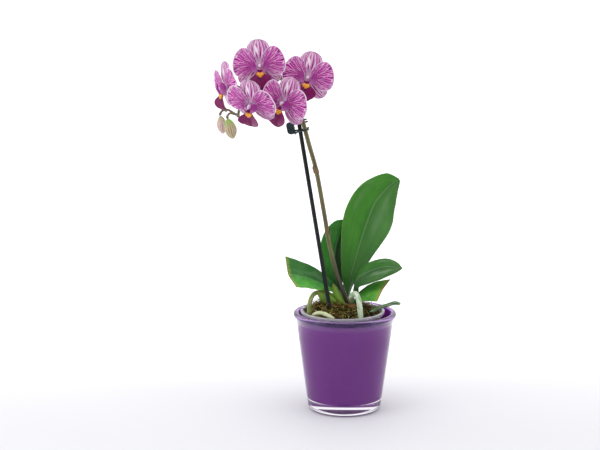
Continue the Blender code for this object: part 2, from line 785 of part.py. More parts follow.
def stake_line():
    """Foot and top of the stake. It stands in the pot and leans to the spike's side at the clip."""
    held = spike_at(CLIP_HEIGHT_ON_SPIKE)
    apart = SPIKE_RADIUS + STAKE_RADIUS + STAKE_CLEARANCE
    beside = held + Vector(STAKE_SIDE).normalized() * apart
    foot_x, foot_y = (share * POT_FOOT_RADIUS for share in STAKE_FOOT)
    foot = Vector((POT_SHIFT + foot_x, foot_y, POT_FLOOR + POT_WALL + STAKE_OFF_FLOOR))
    slope = (beside - foot) / (beside.z - foot.z)
    return foot, beside + slope * STAKE_ABOVE_CLIP


def make_stake(finishes, extra=0.0):
    foot, top = stake_line()
    along = (top - foot).normalized()
    path = [foot - along * extra, foot.lerp(top, 0.4), top - along * 1.2 * MM, top]
    radii = [STAKE_RADIUS + extra] * 3 + [0.6 * STAKE_RADIUS + extra]
    return tube("stake", finishes["stake"], path, radii, sides=12)


# ---------------------------------------------------------------- flowers


def tepal_widths(width, shoulder):
    """Half widths along a petal or sepal. shoulder is the share of its length where it is broadest."""
    half = width / 2
    return [
        (0.0, 0.14 * half),
        (0.12, 0.42 * half),
        (shoulder * 0.6, 0.86 * half),
        (shoulder, half),
        (shoulder + 0.6 * (1 - shoulder), 0.80 * half),
        (0.95, 0.46 * half),
        (1.0, 0.16 * half),
    ]


def make_tepal(name, material, angle, length, width, depth, back, shoulder, columns):
    """A petal or sepal that leaves the flower's axis at an angle in degrees from +X. depth is how far
    behind the axis' zero it starts, and back how far its tip bends behind its start."""
    out = Vector((math.cos(math.radians(angle)), 0.0, math.sin(math.radians(angle))))
    start = out * TEPAL_START + Vector((0.0, depth, 0.0))
    midrib = [start + out * length * t + Vector((0.0, back * t**2, 0.0)) for t in (0.0, 0.25, 0.5, 0.75, 1.0)]
    side = Vector((0.0, 1.0, 0.0)).cross(out)
    widths = tepal_widths(width, shoulder)
    curl = 0.06 if depth < 0 else 0.0
    return blade(name, material, midrib, side, widths, 0.0, TEPAL_THICKNESS, 7, columns, curl)


def make_lip(finishes):
    """The lip: a spade-shaped middle lobe, two side lobes that stand up beside the column, and a callus."""
    material = finishes["lip"]
    reach = LIP_LENGTH
    midrib = [
        Vector((0.0, -3.2 * MM, -4.4 * MM)),
        Vector((0.0, -6.5 * MM, -8.2 * MM)),
        Vector((0.0, -7.5 * MM, -8.2 * MM - 0.35 * reach)),
        Vector((0.0, -7.0 * MM, -8.2 * MM - 0.7 * reach)),
        Vector((0.0, -5.5 * MM, -8.2 * MM - reach)),
    ]
    half = LIP_WIDTH / 2
    widths = [(0.0, 0.2 * half), (0.2, 0.35 * half), (0.55, half), (0.8, 0.62 * half), (1.0, 0.12 * half)]
    lip = blade("lip", material, midrib, Vector((1, 0, 0)), widths, math.radians(-14), 1.2 * MM, 6, 4)
    baked(lip)
    additions = []
    for hand in (-1, 1):
        lobe = [
            Vector((hand * 0.6 * MM, -4.6 * MM, -6.4 * MM)),
            Vector((hand * 4.6 * MM, -6.6 * MM, -5.0 * MM)),
            Vector((hand * 7.4 * MM, -7.4 * MM, 0.4 * MM)),
            Vector((hand * 7.0 * MM, -7.4 * MM, 5.4 * MM)),
        ]
        widths = [(0.0, 1.6 * MM), (0.4, 3.4 * MM), (0.75, 3.9 * MM), (1.0, 1.4 * MM)]
        side = Vector((0.25 * hand, 1.0, 0.1))
        additions.append(baked(blade(f"lobe_{hand}", material, lobe, side, widths, 0.0, 1.1 * MM, 5, 2)))
    shape = bmesh.new()
    bmesh.ops.create_icosphere(shape, subdivisions=1, radius=1.0)
    bmesh.ops.scale(shape, vec=(3.0 * MM, 2.2 * MM, 2.4 * MM), verts=shape.verts)
    bmesh.ops.translate(shape, vec=(0.0, -7.4 * MM, -8.4 * MM), verts=shape.verts)
    additions.append(place("callus", mesh_from(shape, "callus"), material))
    return combine(lip, additions, "UNION")


def make_column(finishes):
    path = [
        Vector((0.0, STALK_END - GAP, 0.0)),
        Vector((0.0, 0.2 * COLUMN_LENGTH, 0.0)),
        Vector((0.0, -0.4 * COLUMN_LENGTH, 0.3 * MM)),
        Vector((0.0, -0.75 * COLUMN_LENGTH, 0.0)),
        Vector((0.0, -0.95 * COLUMN_LENGTH, -0.4 * MM)),
        Vector((0.0, -COLUMN_LENGTH, -0.7 * MM)),
    ]
    radii = [COLUMN_RADIUS * share for share in (0.62, 0.7, 0.85, 1.0, 0.8, 0.35)]
    return tube("column", finishes["column"], path, radii, sides=8)


def make_flower_pieces(finishes):
    """One of each piece of a flower, in the flower's own frame."""
    petal = dict(length=PETAL_LENGTH, width=PETAL_WIDTH, depth=PETAL_DEPTH, back=PETAL_BACK)
    petal.update(shoulder=0.58, columns=6)
    sepal = dict(length=SEPAL_LENGTH, depth=SEPAL_DEPTH, back=SEPAL_BACK, shoulder=0.55, columns=4)
    pieces = [
        make_tepal("petal_right", finishes["petal"], 15, **petal),
        make_tepal("petal_left", finishes["petal"], 165, **petal),
        make_tepal("dorsal_sepal", finishes["sepal"], 90, width=DORSAL_WIDTH, **sepal),
        make_tepal("sepal_right", finishes["sepal"], -41, width=LATERAL_WIDTH, **sepal),
        make_tepal("sepal_left", finishes["sepal"], 221, width=LATERAL_WIDTH, **sepal),
    ]
    pieces = [baked(piece) for piece in pieces]
    return [*pieces, make_lip(finishes), make_column(finishes)]


def make_flowers(finishes):
    pieces = make_flower_pieces(finishes)
    for number, flower in enumerate(FLOWERS, 1):
        frame = bpy.data.objects.new(f"flower_{number}_frame", None)
        bpy.context.scene.collection.objects.link(frame)
        frame.matrix_world = flower_matrix(flower)
        for piece in pieces:
            place(f"flower_{number}_{piece.name}", piece.data, piece.data.materials[0], frame)
    for piece in pieces:
        bpy.data.objects.remove(piece, do_unlink=True)


# ---------------------------------------------------------------- clip


def clip_sizes():
    """Radii of the prongs' ring and the distance of its middle from the pin."""
    held = SPIKE_RADIUS + STAKE_RADIUS + STAKE_CLEARANCE / 2
    inside = held + CLIP_RING_CLEARANCE
    return inside, inside + CLIP_PRONG, inside + CLIP_EAR_RADIUS - 0.3 * MM


def clip_matrix():
    """The clip's frame, with its origin in the middle of the pin."""
    held = spike_at(CLIP_HEIGHT_ON_SPIKE)
    foot, top = stake_line()
    stake_here = foot.lerp(top, (held.z - foot.z) / (top.z - foot.z))
    above, below = spike_at(CLIP_HEIGHT_ON_SPIKE + 0.03), spike_at(CLIP_HEIGHT_ON_SPIKE - 0.03)
    up = ((above - below).normalized() + (top - foot).normalized()).normalized()
    across = Vector((1.0, -0.12, 0.0))
    across = (across - up * across.dot(up)).normalized()
    turn = Matrix((across, up.cross(across), up)).transposed().to_4x4()
    middle = (held + stake_here) / 2
    return Matrix.Translation(middle - across * clip_sizes()[2]) @ turn


def ring_sector(middle_x, inside, outside, first, last, steps=9):
    outline = []
    for radius, start, end in ((outside, first, last), (inside, last, first)):
        for step in range(steps + 1):
            angle = math.radians(start + (end - start) * step / steps)
            outline.append((middle_x + radius * math.cos(angle), radius * math.sin(angle)))
    return outline


def make_jaw(name, material, hand, levels, frame):
    """Half of the clip. hand is -1 for the half in front of the spike and 1 for the half behind it. levels
    are the heights, from the clip's middle, between which its upper ear and prong lie."""
    inside, outside, ring_x = clip_sizes()
    low, high = levels
    pieces = []
    for upper in (1, -1):
        bottom, top = sorted((upper * low, upper * high))
        tag = f"{name}_{upper}"
        sector = ring_sector(ring_x, inside, outside, 180, 180 - hand * 162)
        pieces.append(prism(f"{tag}_prong", material, sector, bottom, top))
        pieces.append(prism(f"{tag}_ear", material, circle(0, 0, CLIP_EAR_RADIUS, 16), bottom, top))
        arm = [(-2.0, 1.0), (0.6, 1.0), (0.2, 4.1), (-3.4, 4.6)]
        pieces.append(prism(f"{tag}_arm", material, [(x * MM, hand * y * MM) for x, y in arm], bottom, top))
    corner = 0.42 * CLIP_PAD_LENGTH
    outline = []
    for quarter, (right, up) in enumerate(((1, 1), (-1, 1), (-1, -1), (1, -1))):
        x = right * (CLIP_PAD_LENGTH / 2 - corner)
        y = up * (CLIP_PAD_HEIGHT / 2 - corner)
        for step in range(4):
            angle = math.radians(90 * quarter + 30 * step)
            outline.append((x + corner * math.cos(angle), y + corner * math.sin(angle)))
    pad = prism(f"{name}_pad", material, outline, -CLIP_PAD_THICKNESS / 2, CLIP_PAD_THICKNESS / 2)
    stand = Matrix.Rotation(math.radians(90), 4, "X")
    splay = Matrix.Rotation(-hand * CLIP_PAD_SPLAY, 4, "Z")
    shift = Matrix.Translation((-CLIP_PAD_LENGTH / 2 + 0.2 * MM, hand * CLIP_PAD_OFFSET, 0.0))
    pad.data.transform(shift @ splay @ stand)
    jaw = combine(pad, pieces, "UNION")
    drill = prism("drill", material, circle(0, 0, CLIP_HOLE_RADIUS, 12), -high - MM, high + MM)
    combine(jaw, [drill], "DIFFERENCE")
    jaw.name = name
    jaw.parent = frame
    return jaw


def make_clip(finishes):
    frame = bpy.data.objects.new("clip_frame", None)
    bpy.context.scene.collection.objects.link(frame)
    frame.matrix_world = clip_matrix()
    make_jaw("clip_jaw_fixed", finishes["clip"], -1, (4.8 * MM, 6.4 * MM), frame)
    make_jaw("clip_jaw_moving", finishes["clip"], 1, (2.5 * MM, 4.3 * MM), frame)

    reach = 6.4 * MM + GAP
    head = 1.4 * MM
    profile = [
        (0.0, -reach - 0.7 * MM),
        (head, -reach - 0.7 * MM),
        (head, -reach),
        (CLIP_PIN_RADIUS, -reach),
        (CLIP_PIN_RADIUS, reach),
        (head, reach),
        (head, reach + 0.7 * MM),
        (0.0, reach + 0.7 * MM),
    ]
    pin = turned("clip_pin", finishes["steel"], profile, 12)
    pin.parent = frame

    turns = 3
    per_turn = 10
    half = 1.5 * MM
    coil = []
    for number in range(turns * per_turn + 1):
        angle = math.radians(90) + 2 * math.pi * number / per_turn
        height = -half + 2 * half * number / (turns * per_turn)
        coil.append(Vector((SPRING_RADIUS * math.cos(angle), SPRING_RADIUS * math.sin(angle), height)))
    leg_back = [Vector((-5.2 * MM, 3.3 * MM, -half)), Vector((-2.5 * MM, 2.2 * MM, -half))]
    leg_front = [Vector((-2.5 * MM, -2.2 * MM, half)), Vector((-5.2 * MM, -3.3 * MM, half))]
    coil = coil[1:-5]
    path = [*leg_back, *coil, *leg_front]
    tube("clip_spring", finishes["steel"], path, [SPRING_WIRE] * len(path), sides=5, parent=frame)


# ---------------------------------------------------------------- assembly


def make_sockets(finishes):
    """Tools that cut the soil: each buried piece, larger by the gap all round."""
    spike_foot, foot_radii = (course[:4] for course in spike_course())
    spike_foot[0] = spike_foot[0] - Vector((0.0, 0.0, GAP))
    sockets = [
        make_stake(finishes, GAP),
        make_crown(finishes, GAP),
        tube("spike_socket", finishes["soil"], spike_foot, [radius + GAP for radius in foot_radii]),
        *make_roots(finishes, GAP),
    ]
    for number, socket in enumerate(sockets):
        socket.name = f"socket_{number}"
    return sockets


def main():
    clear_scene()
    finishes = make_finishes()
    make_jar(finishes)
    make_nursery_pot(finishes)
    make_soil(finishes, make_sockets(finishes))
    make_bark_chips(finishes)
    make_crown(finishes)
    make_leaves(finishes)
    make_roots(finishes)
    make_spike(finishes)
    make_buds(finishes)
    make_stake(finishes)
    make_clip(finishes)
    make_flowers(finishes)


main()
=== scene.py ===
"""The looks of a moth orchid in flower, in a clear pot inside a purple-lined glass jar."""

import json
import math
import random

import bmesh
import bpy
from mathutils import Matrix, Vector
from mathutils.bvhtree import BVHTree


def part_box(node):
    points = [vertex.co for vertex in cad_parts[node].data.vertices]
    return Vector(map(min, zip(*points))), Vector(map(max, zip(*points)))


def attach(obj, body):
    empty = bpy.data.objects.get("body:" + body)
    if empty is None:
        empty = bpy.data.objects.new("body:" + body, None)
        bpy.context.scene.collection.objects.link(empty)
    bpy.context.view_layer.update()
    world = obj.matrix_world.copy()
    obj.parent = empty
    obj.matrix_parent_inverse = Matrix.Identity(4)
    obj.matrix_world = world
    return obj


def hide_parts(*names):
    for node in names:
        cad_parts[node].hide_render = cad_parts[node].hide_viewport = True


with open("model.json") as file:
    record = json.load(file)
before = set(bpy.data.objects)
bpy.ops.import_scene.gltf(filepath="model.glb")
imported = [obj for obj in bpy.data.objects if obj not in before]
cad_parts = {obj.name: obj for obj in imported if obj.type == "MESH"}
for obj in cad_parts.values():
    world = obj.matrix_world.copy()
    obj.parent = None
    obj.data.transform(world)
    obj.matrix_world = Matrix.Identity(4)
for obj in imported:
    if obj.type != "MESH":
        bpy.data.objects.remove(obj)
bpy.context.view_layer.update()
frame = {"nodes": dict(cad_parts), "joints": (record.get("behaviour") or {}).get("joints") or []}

MM = 0.001
TAU = 2 * math.pi

# Glass jar and what stands in it. Heights and radii, in mm.
JAR_HEIGHT = 106.5
JAR_FOOT_RADIUS = 38.8
JAR_MOUTH_RADIUS = 53.2
JAR_WALL = 3.4
JAR_BASE = 12.5
FOOT_ROUNDING = 6.5
PUNT_RISE = 3.4  # how far the underside is domed up at its middle
LIP_HEIGHT = 5.0
LIP_OVERHANG = 1.9
LINING_BELOW_RIM = 1.2
LINING_WALL = 0.6
LINING_BITE = 0.06  # how far the paint lies into the glass
FLOOR_ROUNDING = 2.5  # between the jar's floor and its wall
POT_WALL = 0.8
POT_FOOT_RADIUS = 31.5
POT_RIM_ROUNDING = 0.35
BARK_FLAKES = 150
MOSS_STRANDS = 2500
DRAIN_HOLES = 6

# Flower, in its own frame: X to the right, Z up, facing -Y. In mm.
PETAL_LENGTH = 24.6
PETAL_WIDTH = 30.5
SEPAL_LENGTH = 23.6
DORSAL_WIDTH = 24.0
LATERAL_WIDTH = 19.0
TEPAL_START = 3.0
TEPAL_THICKNESS = 0.5
HUB_RADIUS = 4.6  # the flower's fleshy middle, behind the column
COLUMN_BACK = 2.1  # how far the column's back end lies behind the flower's centre
LIP_WIDTH = 24.0
LOBE_THICKNESS = 0.7
SIDE_LOBE_THICKNESS = 0.6
COLUMN_RADIUS = 1.95

# Leaves, stems, stake and clip, in mm.
LEAF_THICKNESS = 1.3
LEAF_FOOT_FOLD = 62  # how steeply a leaf's halves stand at its foot, in degrees
SHEATH_THICKNESS = 1.0
BRACT_THICKNESS = 0.25
STALK_RADIUS = 1.15
SPIKE_NODES = (0.2615, 0.4605, 0.655)  # where its swellings are, from foot to tip
STAKE_RADIUS = 2.2
RIB_SPACING = 2.0
COIL_RADIUS = 1.35
WIRE_RADIUS = 0.22

# Camera. Its tilt is in degrees below level.
CAMERA_PLACE = (-0.048, -1.5, 0.4586)
CAMERA_LENS = 86.1
CAMERA_TILT = 9.77

pot_low, pot_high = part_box("nursery_pot")
POT_MIDDLE = (pot_low + pot_high) / 2
POT_TOP = pot_high.z
SOIL_EDGE = POT_TOP - 4.5 * MM
SOIL_RADIUS = (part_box("potting_mix")[1].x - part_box("potting_mix")[0].x) / 2


# ---------------------------------------------------------------- finishes


def tint(code):
    """A colour written as six hexadecimal digits, as the shader takes it."""
    channels = [int(code[place : place + 2], 16) / 255 for place in (0, 2, 4)]
    return (*[c / 12.92 if c <= 0.04045 else ((c + 0.055) / 1.055) ** 2.4 for c in channels], 1.0)


class Value:
    """A socket that gives a number, so that shader maths is written as ordinary sums."""

    def __init__(self, finish, socket):
        self.finish = finish
        self.socket = socket

    def math(self, operation, *values):
        inputs = dict(enumerate(values))
        return self.finish.node("ShaderNodeMath", {"operation": operation}, inputs)

    def __add__(self, other):
        return self.math("ADD", self, other)

    def __sub__(self, other):
        return self.math("SUBTRACT", self, other)

    def __rsub__(self, other):
        return self.math("SUBTRACT", other, self)

    def __mul__(self, other):
        return self.math("MULTIPLY", self, other)

    __radd__ = __add__
    __rmul__ = __mul__

    def size(self):
        return self.math("ABSOLUTE", self)

    def wave(self):
        return self.math("SINE", self)

    def larger(self, other):
        return self.math("MAXIMUM", self, other)

    def between(self, low, high):
        """0 below low and 1 above high, eased in between. low above high turns it round."""
        inputs = {"Value": self, "From Min": low, "From Max": high}
        return self.finish.node("ShaderNodeMapRange", {"interpolation_type": "SMOOTHSTEP"}, inputs)


class Nodes:
    """A node tree in the making, with one output shader."""

    def __init__(self, tree, shader):
        self.tree = tree
        self.shader = tree.nodes[shader]

    def put(self, socket, value):
        self.plug(self.shader.inputs[socket], value)

    def plug(self, socket, value):
        """Links or sets a socket. Text is a colour's six digits."""
        if isinstance(value, Value):
            self.tree.links.new(value.socket, socket)
        else:
            socket.default_value = tint(value) if isinstance(value, str) else value

    def node(self, kind, settings=None, inputs=None, output=0):
        """A new node with its settings, and the values or links of its sockets. It gives one output."""
        made = self.tree.nodes.new(kind)
        for name, value in (settings or {}).items():
            if name == "stops":
                ramp = made.color_ramp
                for _ in value[2:]:
                    ramp.elements.new(1.0)
                for element, (position, color) in zip(ramp.elements, value):
                    element.position = position
                    element.color = color
            else:
                setattr(made, name, value)
        for name, value in (inputs or {}).items():
            self.plug(made.inputs[name], value)
        return Value(self, made.outputs[output])

    def uv(self):
        """U and V of the piece's own map, as two values."""
        place = self.node("ShaderNodeTexCoord", output="UV")
        split = {"Vector": place}
        return [self.node("ShaderNodeSeparateXYZ", None, split, output=axis) for axis in (0, 1)]

    def position(self):
        return self.node("ShaderNodeTexCoord", output="Object")

    def height(self):
        return self.node("ShaderNodeSeparateXYZ", None, {"Vector": self.position()}, output=2)

    def vector(self, x, y, z=0.0):
        return self.node("ShaderNodeCombineXYZ", None, {"X": x, "Y": y, "Z": z})

    def noise(self, where, scale, detail=3.0, roughness=0.5):
        inputs = {"Vector": where, "Scale": scale, "Detail": detail, "Roughness": roughness}
        return self.node("ShaderNodeTexNoise", None, inputs)

    def cells(self, where, scale, feature="F1"):
        inputs = {"Vector": where, "Scale": scale}
        return self.node("ShaderNodeTexVoronoi", {"feature": feature}, inputs)

    def grain(self, scale, detail=3.0, roughness=0.5):
        """Noise through the whole body of the piece."""
        return self.noise(self.position(), scale, detail, roughness)

    def fibres(self, across, along, detail=3.0, roughness=0.5, offset=0.0):
        """Noise stretched over the piece's own map, with this many grains across it and along it."""
        u, v = self.uv()
        return self.noise(self.vector(u * across, v * along, offset), 1.0, detail, roughness)

    def blend(self, share, first, second):
        inputs = {0: share, 6: first, 7: second}
        return self.node("ShaderNodeMix", {"data_type": "RGBA"}, inputs, output=2)

    def ramp(self, value, *stops):
        settings = {"stops": [(position, tint(code)) for position, code in stops]}
        return self.node("ShaderNodeValToRGB", settings, {"Fac": value})


class Finish(Nodes):
    """A material with one Principled shader."""

    def __init__(self, name, **constants):
        self.material = bpy.data.materials.new(name)
        self.material.use_nodes = True
        super().__init__(self.material.node_tree, "Principled BSDF")
        for socket, value in constants.items():
            self.put(socket.replace("_", " ").title().replace("Ior", "IOR"), value)

    def relief(self, height, depth):
        """Bumps of this depth in metres where height runs from 0 to 1."""
        inputs = {"Height": height, "Distance": depth, "Strength": 1.0}
        self.put("Normal", self.node("ShaderNodeBump", None, inputs))


def glass_finish():
    """Clear glass, with its lip tinted violet: a painted reflection of the purple lining seen through the
    lip.
    """
    finish = Finish("jar glass", roughness=0.0, ior=1.48, transmission_weight=1.0)
    clear = finish.blend(finish.grain(9.0), "fcfafd", "f6f3fb")
    shoulder = (JAR_HEIGHT - LIP_HEIGHT) * MM
    lip = finish.height().between(shoulder - 3 * MM, shoulder + 2 * MM)
    finish.put("Base Color", finish.blend(lip, clear, "9360b6"))
    return finish


def lining_finish():
    finish = Finish("purple lining", specular_ior_level=0.15)
    cloudy = finish.grain(26.0, 4.0)
    ends = finish.height().between(70 * MM, 102 * MM)
    color = finish.blend(cloudy, "84209c", "8c25a4")
    finish.put("Base Color", finish.blend(ends * 0.5, color, "9430ac"))
    finish.put("Roughness", 0.4 + cloudy * 0.1)
    return finish


def pot_finish():
    finish = Finish("clear pot plastic", ior=1.3, transmission_weight=0.6)
    scuffs = finish.grain(160.0, 5.0)
    finish.put("Base Color", finish.blend(scuffs, "f1eff4", "e0dde6"))
    finish.put("Roughness", scuffs.between(0.35, 0.8) * 0.2 + 0.08)
    finish.relief(scuffs, 0.00002)
    return finish


def petal_finish(name, cells_across, cells_along, ground, deep, vein, line):
    """A netted petal. U runs across it or round its fan, and V from its foot to its margin. Its pale
    veins are the seams between long narrow cells, and line is their width as a share of a cell."""
    finish = Finish(name, specular_ior_level=0.15, subsurface_weight=0.05, subsurface_scale=0.0015)
    across, along = finish.uv()
    wander = finish.fibres(7.0, 3.0) - 0.5
    course = across + wander * 0.035
    reach = along + wander * 0.12
    coarse_net = finish.vector(course * cells_across, reach * cells_along)
    fine_net = finish.vector(course * (cells_across * 2.1) + 7.3, reach * (cells_along * 2.2), 3.0)
    trunks = finish.cells(coarse_net, 1.0, "DISTANCE_TO_EDGE").between(line, line * 0.3)
    twigs = finish.cells(fine_net, 1.0, "DISTANCE_TO_EDGE").between(line * 1.2, line * 0.3)
    velvet = finish.noise(finish.vector(course * 30.0, along * 6.0), 1.0, 4.0, 0.6)
    color = finish.blend(velvet.between(0.35, 0.65), deep, ground)
    color = finish.blend(twigs * along.between(0.25, 0.6) * 0.5, color, vein)
    color = finish.blend(trunks * (0.95 - along * 0.2), color, vein)
    off_middle = (across * 2 - 1).size()
    edge = off_middle.larger(along).between(0.95, 0.98)
    foot = along.between(0.24, 0.03) * (0.35 + velvet * 0.6)
    color = finish.blend(foot, color, "efd3ec")
    finish.put("Base Color", finish.blend(edge * 0.9, color, "f6e6f6"))
    finish.put("Roughness", 0.42 + velvet * 0.2)
    finish.relief(trunks * 0.5 + velvet * 0.5, 0.0002)
    return finish


def lip_finish():
    finish = Finish("lip crimson", roughness=0.4, specular_ior_level=0.3)
    _, along = finish.uv()
    fine = finish.fibres(24.0, 6.0, 4.0, 0.6)
    velvet = finish.blend(fine.between(0.35, 0.7), "6a0648", "8f0f68")
    finish.put("Base Color", finish.blend(along.between(0.25, 0.0) * 0.5, velvet, "a8307f"))
    finish.put("Coat Weight", fine * 0.1)
    finish.relief(fine, 0.00018)
    return finish


def side_lobe_finish():
    finish = Finish("side lobe magenta", roughness=0.4, specular_ior_level=0.3)
    across, along = finish.uv()
    fine = finish.fibres(18.0, 4.0)
    lines = ((across + fine * 0.04) * (TAU * 5)).wave() * 0.5 + 0.5
    foot = along.between(0.75, 0.15)
    color = finish.blend(lines * 0.5, "8a1a78", "b53c9f")
    pale = finish.blend(lines.between(0.3, 0.7), "e3a3d9", "8f1c7c")
    finish.put("Base Color", finish.blend(foot, color, pale))
    finish.relief(fine, 0.00012)
    return finish


def callus_finish():
    finish = Finish("callus orange", roughness=0.4, subsurface_weight=0.15, subsurface_scale=0.001)
    grain = finish.grain(700.0, 3.0)
    dots = finish.cells(finish.position(), 900.0).between(0.32, 0.20)
    color = finish.blend(grain.between(0.3, 0.7), "e88d0c", "f6b93a")
    finish.put("Base Color", finish.blend(dots * 0.7, color, "9c2a20"))
    finish.relief(grain, 0.0002)
    return finish


def column_finish():
    finish = Finish("column pink", roughness=0.42, subsurface_weight=0.2, subsurface_scale=0.001)
    _, along = finish.uv()
    streaks = finish.fibres(16.0, 3.0)
    color = finish.blend(streaks.between(0.35, 0.65), "d78fcf", "b04fa4")
    finish.put("Base Color", finish.blend(along.between(0.35, 0.8), color, "efd2ea"))
    finish.relief(streaks, 0.0001)
    return finish


def cap_finish():
    finish = Finish("anther cap cream", roughness=0.4, subsurface_weight=0.3, subsurface_scale=0.001)
    grain = finish.grain(900.0, 3.0)
    finish.put("Base Color", finish.blend(grain, "eccfe4", "d9a3cf"))
    finish.relief(grain, 0.0001)
    return finish


def bud_finish(name, belly, stripe, top):
    finish = Finish(name, roughness=0.5, subsurface_weight=0.1, sheen_weight=0.2, subsurface_scale=0.002)
    across, along = finish.uv()
    fine = finish.fibres(22.0, 3.0, 4.0, 0.6)
    lines = ((across + fine * 0.03) * (TAU * 15)).wave() * 0.5 + 0.5
    color = finish.blend((lines * 0.6 + fine * 0.6).between(0.55, 0.95), belly, stripe)
    finish.put("Base Color", finish.blend(along.between(0.42, 0.12), color, top))
    finish.put("Roughness", 0.42 + fine * 0.2)
    finish.relief(lines * 0.5 + fine * 0.5, 0.00025)
    return finish


def leaf_finish(name, deep, main, bright, sheen="8fa98a", sheen_share=0.25, painted_shade_half=0.0):
    """A waxy leaf: U runs across it, with the midrib at the middle, and V from foot to tip."""
    finish = Finish(name, coat_roughness=0.3, specular_ior_level=0.25)
    across, along = finish.uv()
    clouds = finish.fibres(2.0, 4.0, 4.0, 0.55)
    veins = finish.fibres(60.0, 1.6, 4.0, 0.6)
    speckle = finish.grain(900.0, 4.0, 0.6)
    color = finish.blend(clouds.between(0.32, 0.68), main, bright)
    color = finish.blend(veins.between(0.42, 0.72) * 0.35, color, deep)
    # Painted shade: the half of the blade past the midrib is darkened where the fold and the leaves in front
    # shade it.
    color = finish.blend((across - 0.5).between(0.0, 0.08) * painted_shade_half, color, deep)
    color = finish.blend(along.between(0.35, 0.0) * 0.6, color, deep)
    off_rib = (across * 2 - 1).size()
    rib = off_rib.between(0.06, 0.0)
    groove = off_rib.between(0.22, 0.03)
    color = finish.blend(groove * 0.35, color, deep)
    color = finish.blend(rib * 0.35, color, sheen)
    # Patches of painted sheen: greyish highlights laid on in the sheen colour.
    painted_sheen_patches = finish.fibres(5.0, 3.0, offset=4.0).between(0.5, 0.75)
    color = finish.blend(painted_sheen_patches * sheen_share, color, sheen)
    color = finish.blend(off_rib.between(0.97, 1.0) * 0.5, color, "a9c46a")
    color = finish.blend(speckle.between(0.62, 0.72) * 0.15, color, "c3cf8f")
    finish.put("Base Color", color)
    finish.put("Roughness", 0.34 + veins * 0.16 + clouds * 0.08)
    finish.put("Coat Weight", 0.04 + clouds * 0.16)
    finish.relief(veins * 0.7 + speckle * 0.15 + rib * 0.4, 0.00022)
    return finish, color


def cut_leaf_finish(name, deep, main, bright, scar, **options):
    """A leaf that was cut across at its far end, where it has dried brown."""
    finish, color = leaf_finish(name, deep, main, bright, **options)
    _, along = finish.uv()
    ragged = finish.fibres(14.0, 9.0, 4.0, 0.65, offset=2.0)
    dry = (along + (ragged - 0.5) * 0.07).between(1 - scar * 0.6, 1.0)
    yellowing = (along + (ragged - 0.5) * 0.2).between(1 - scar * 4, 1.0)
    color = finish.blend(yellowing * 0.55, color, "a9b848")
    color = finish.blend(dry, color, "8a4f26")
    scratch = finish.fibres(3.0, 34.0, 4.0, 0.7, offset=7.0)
    color = finish.blend(scratch.between(0.66, 0.74) * 0.5, color, "b9c27e")
    finish.put("Base Color", color)
    finish.put("Coat Weight", (1 - dry) * 0.12)
    return finish


def crown_finish():
    finish = Finish("crown green", roughness=0.45)
    _, along = finish.uv()
    streaks = finish.fibres(22.0, 0.5, 4.0)
    color = finish.blend(streaks.between(0.3, 0.7), "5c902c", "8db43c")
    color = finish.blend(along.between(0.5, 0.05) * 0.6, color, "6a6330")
    finish.put("Base Color", finish.blend(along.between(0.82, 1.0) * 0.7, color, "8a6a3a"))
    finish.relief(streaks, 0.0002)
    return finish


def root_finish(name, dry, wet, streak):
    """A root with a spongy silver skin, green where it is damp. V runs along it, in cm."""
    finish = Finish(name, roughness=0.6, coat_roughness=0.3)
    streaks = finish.fibres(9.0, 0.7, 4.0, 0.6)
    patches = finish.fibres(2.0, 0.9, offset=5.0)
    pores = finish.grain(1300.0, 3.0)
    color = finish.blend(patches.between(0.38, 0.62), dry, wet)
    color = finish.blend(streaks.between(0.52, 0.66), color, streak)
    finish.put("Base Color", finish.blend(pores.between(0.6, 0.75) * 0.3, color, "e6ead9"))
    finish.put("Roughness", 0.45 + pores * 0.3)
    finish.relief(streaks * 0.6 + pores * 0.4, 0.0003)
    return finish


def spike_finish():
    """Olive and purple-brown, darker towards the foot."""
    finish = Finish("spike brown", roughness=0.4, coat_roughness=0.3)
    streaks = finish.fibres(10.0, 0.35, 4.0, 0.6)
    specks = finish.grain(900.0, 4.0, 0.6)
    color = finish.blend(streaks.between(0.38, 0.62), "4f4320", "6b6a2c")
    color = finish.blend(specks.between(0.5, 0.68) * 0.6, color, "5a3430")
    low = finish.height().between(SOIL_EDGE + 0.085, SOIL_EDGE + 0.02)
    color = finish.blend(low * 0.85, color, "2e1a22")
    finish.put("Base Color", color)
    finish.put("Coat Weight", 0.25 + streaks * 0.2)
    finish.relief(streaks * 0.5 + specks * 0.5, 0.0002)
    return finish


def stalk_finish():
    finish = Finish("flower stalk", roughness=0.42, coat_roughness=0.3)
    streaks = finish.fibres(6.0, 0.8)
    finish.put("Base Color", finish.blend(streaks.between(0.35, 0.65), "6f4a55", "7c7a3c"))
    finish.put("Coat Weight", 0.25 + streaks * 0.1)
    finish.relief(streaks, 0.00015)
    return finish


def bract_finish():
    finish = Finish("bract straw", roughness=0.6)
    ribs = finish.fibres(26.0, 1.5)
    finish.put("Base Color", finish.blend(ribs.between(0.35, 0.65), "8a6f48", "5d4228"))
    finish.relief(ribs, 0.0002)
    return finish


def stake_finish():
    finish = Finish("stake black", specular_ior_level=0.3)
    grain = finish.grain(420.0, 4.0)
    scuffs = finish.grain(60.0, 5.0, 0.7)
    color = finish.blend(scuffs.between(0.45, 0.7), "0c1215", "161e1f")
    finish.put("Base Color", color)
    finish.put("Roughness", 0.3 + scuffs * 0.25)
    finish.relief(grain, 0.00008)
    return finish


def clip_finish():
    finish = Finish("clip plastic", roughness=0.34)
    grain = finish.grain(700.0, 4.0)
    worn = finish.grain(150.0, 4.0, 0.65)
    finish.put("Base Color", finish.blend(worn.between(0.4, 0.7), "0b2226", "17383b"))
    finish.put("Roughness", 0.26 + worn * 0.25)
    finish.relief(grain, 0.00006)
    return finish


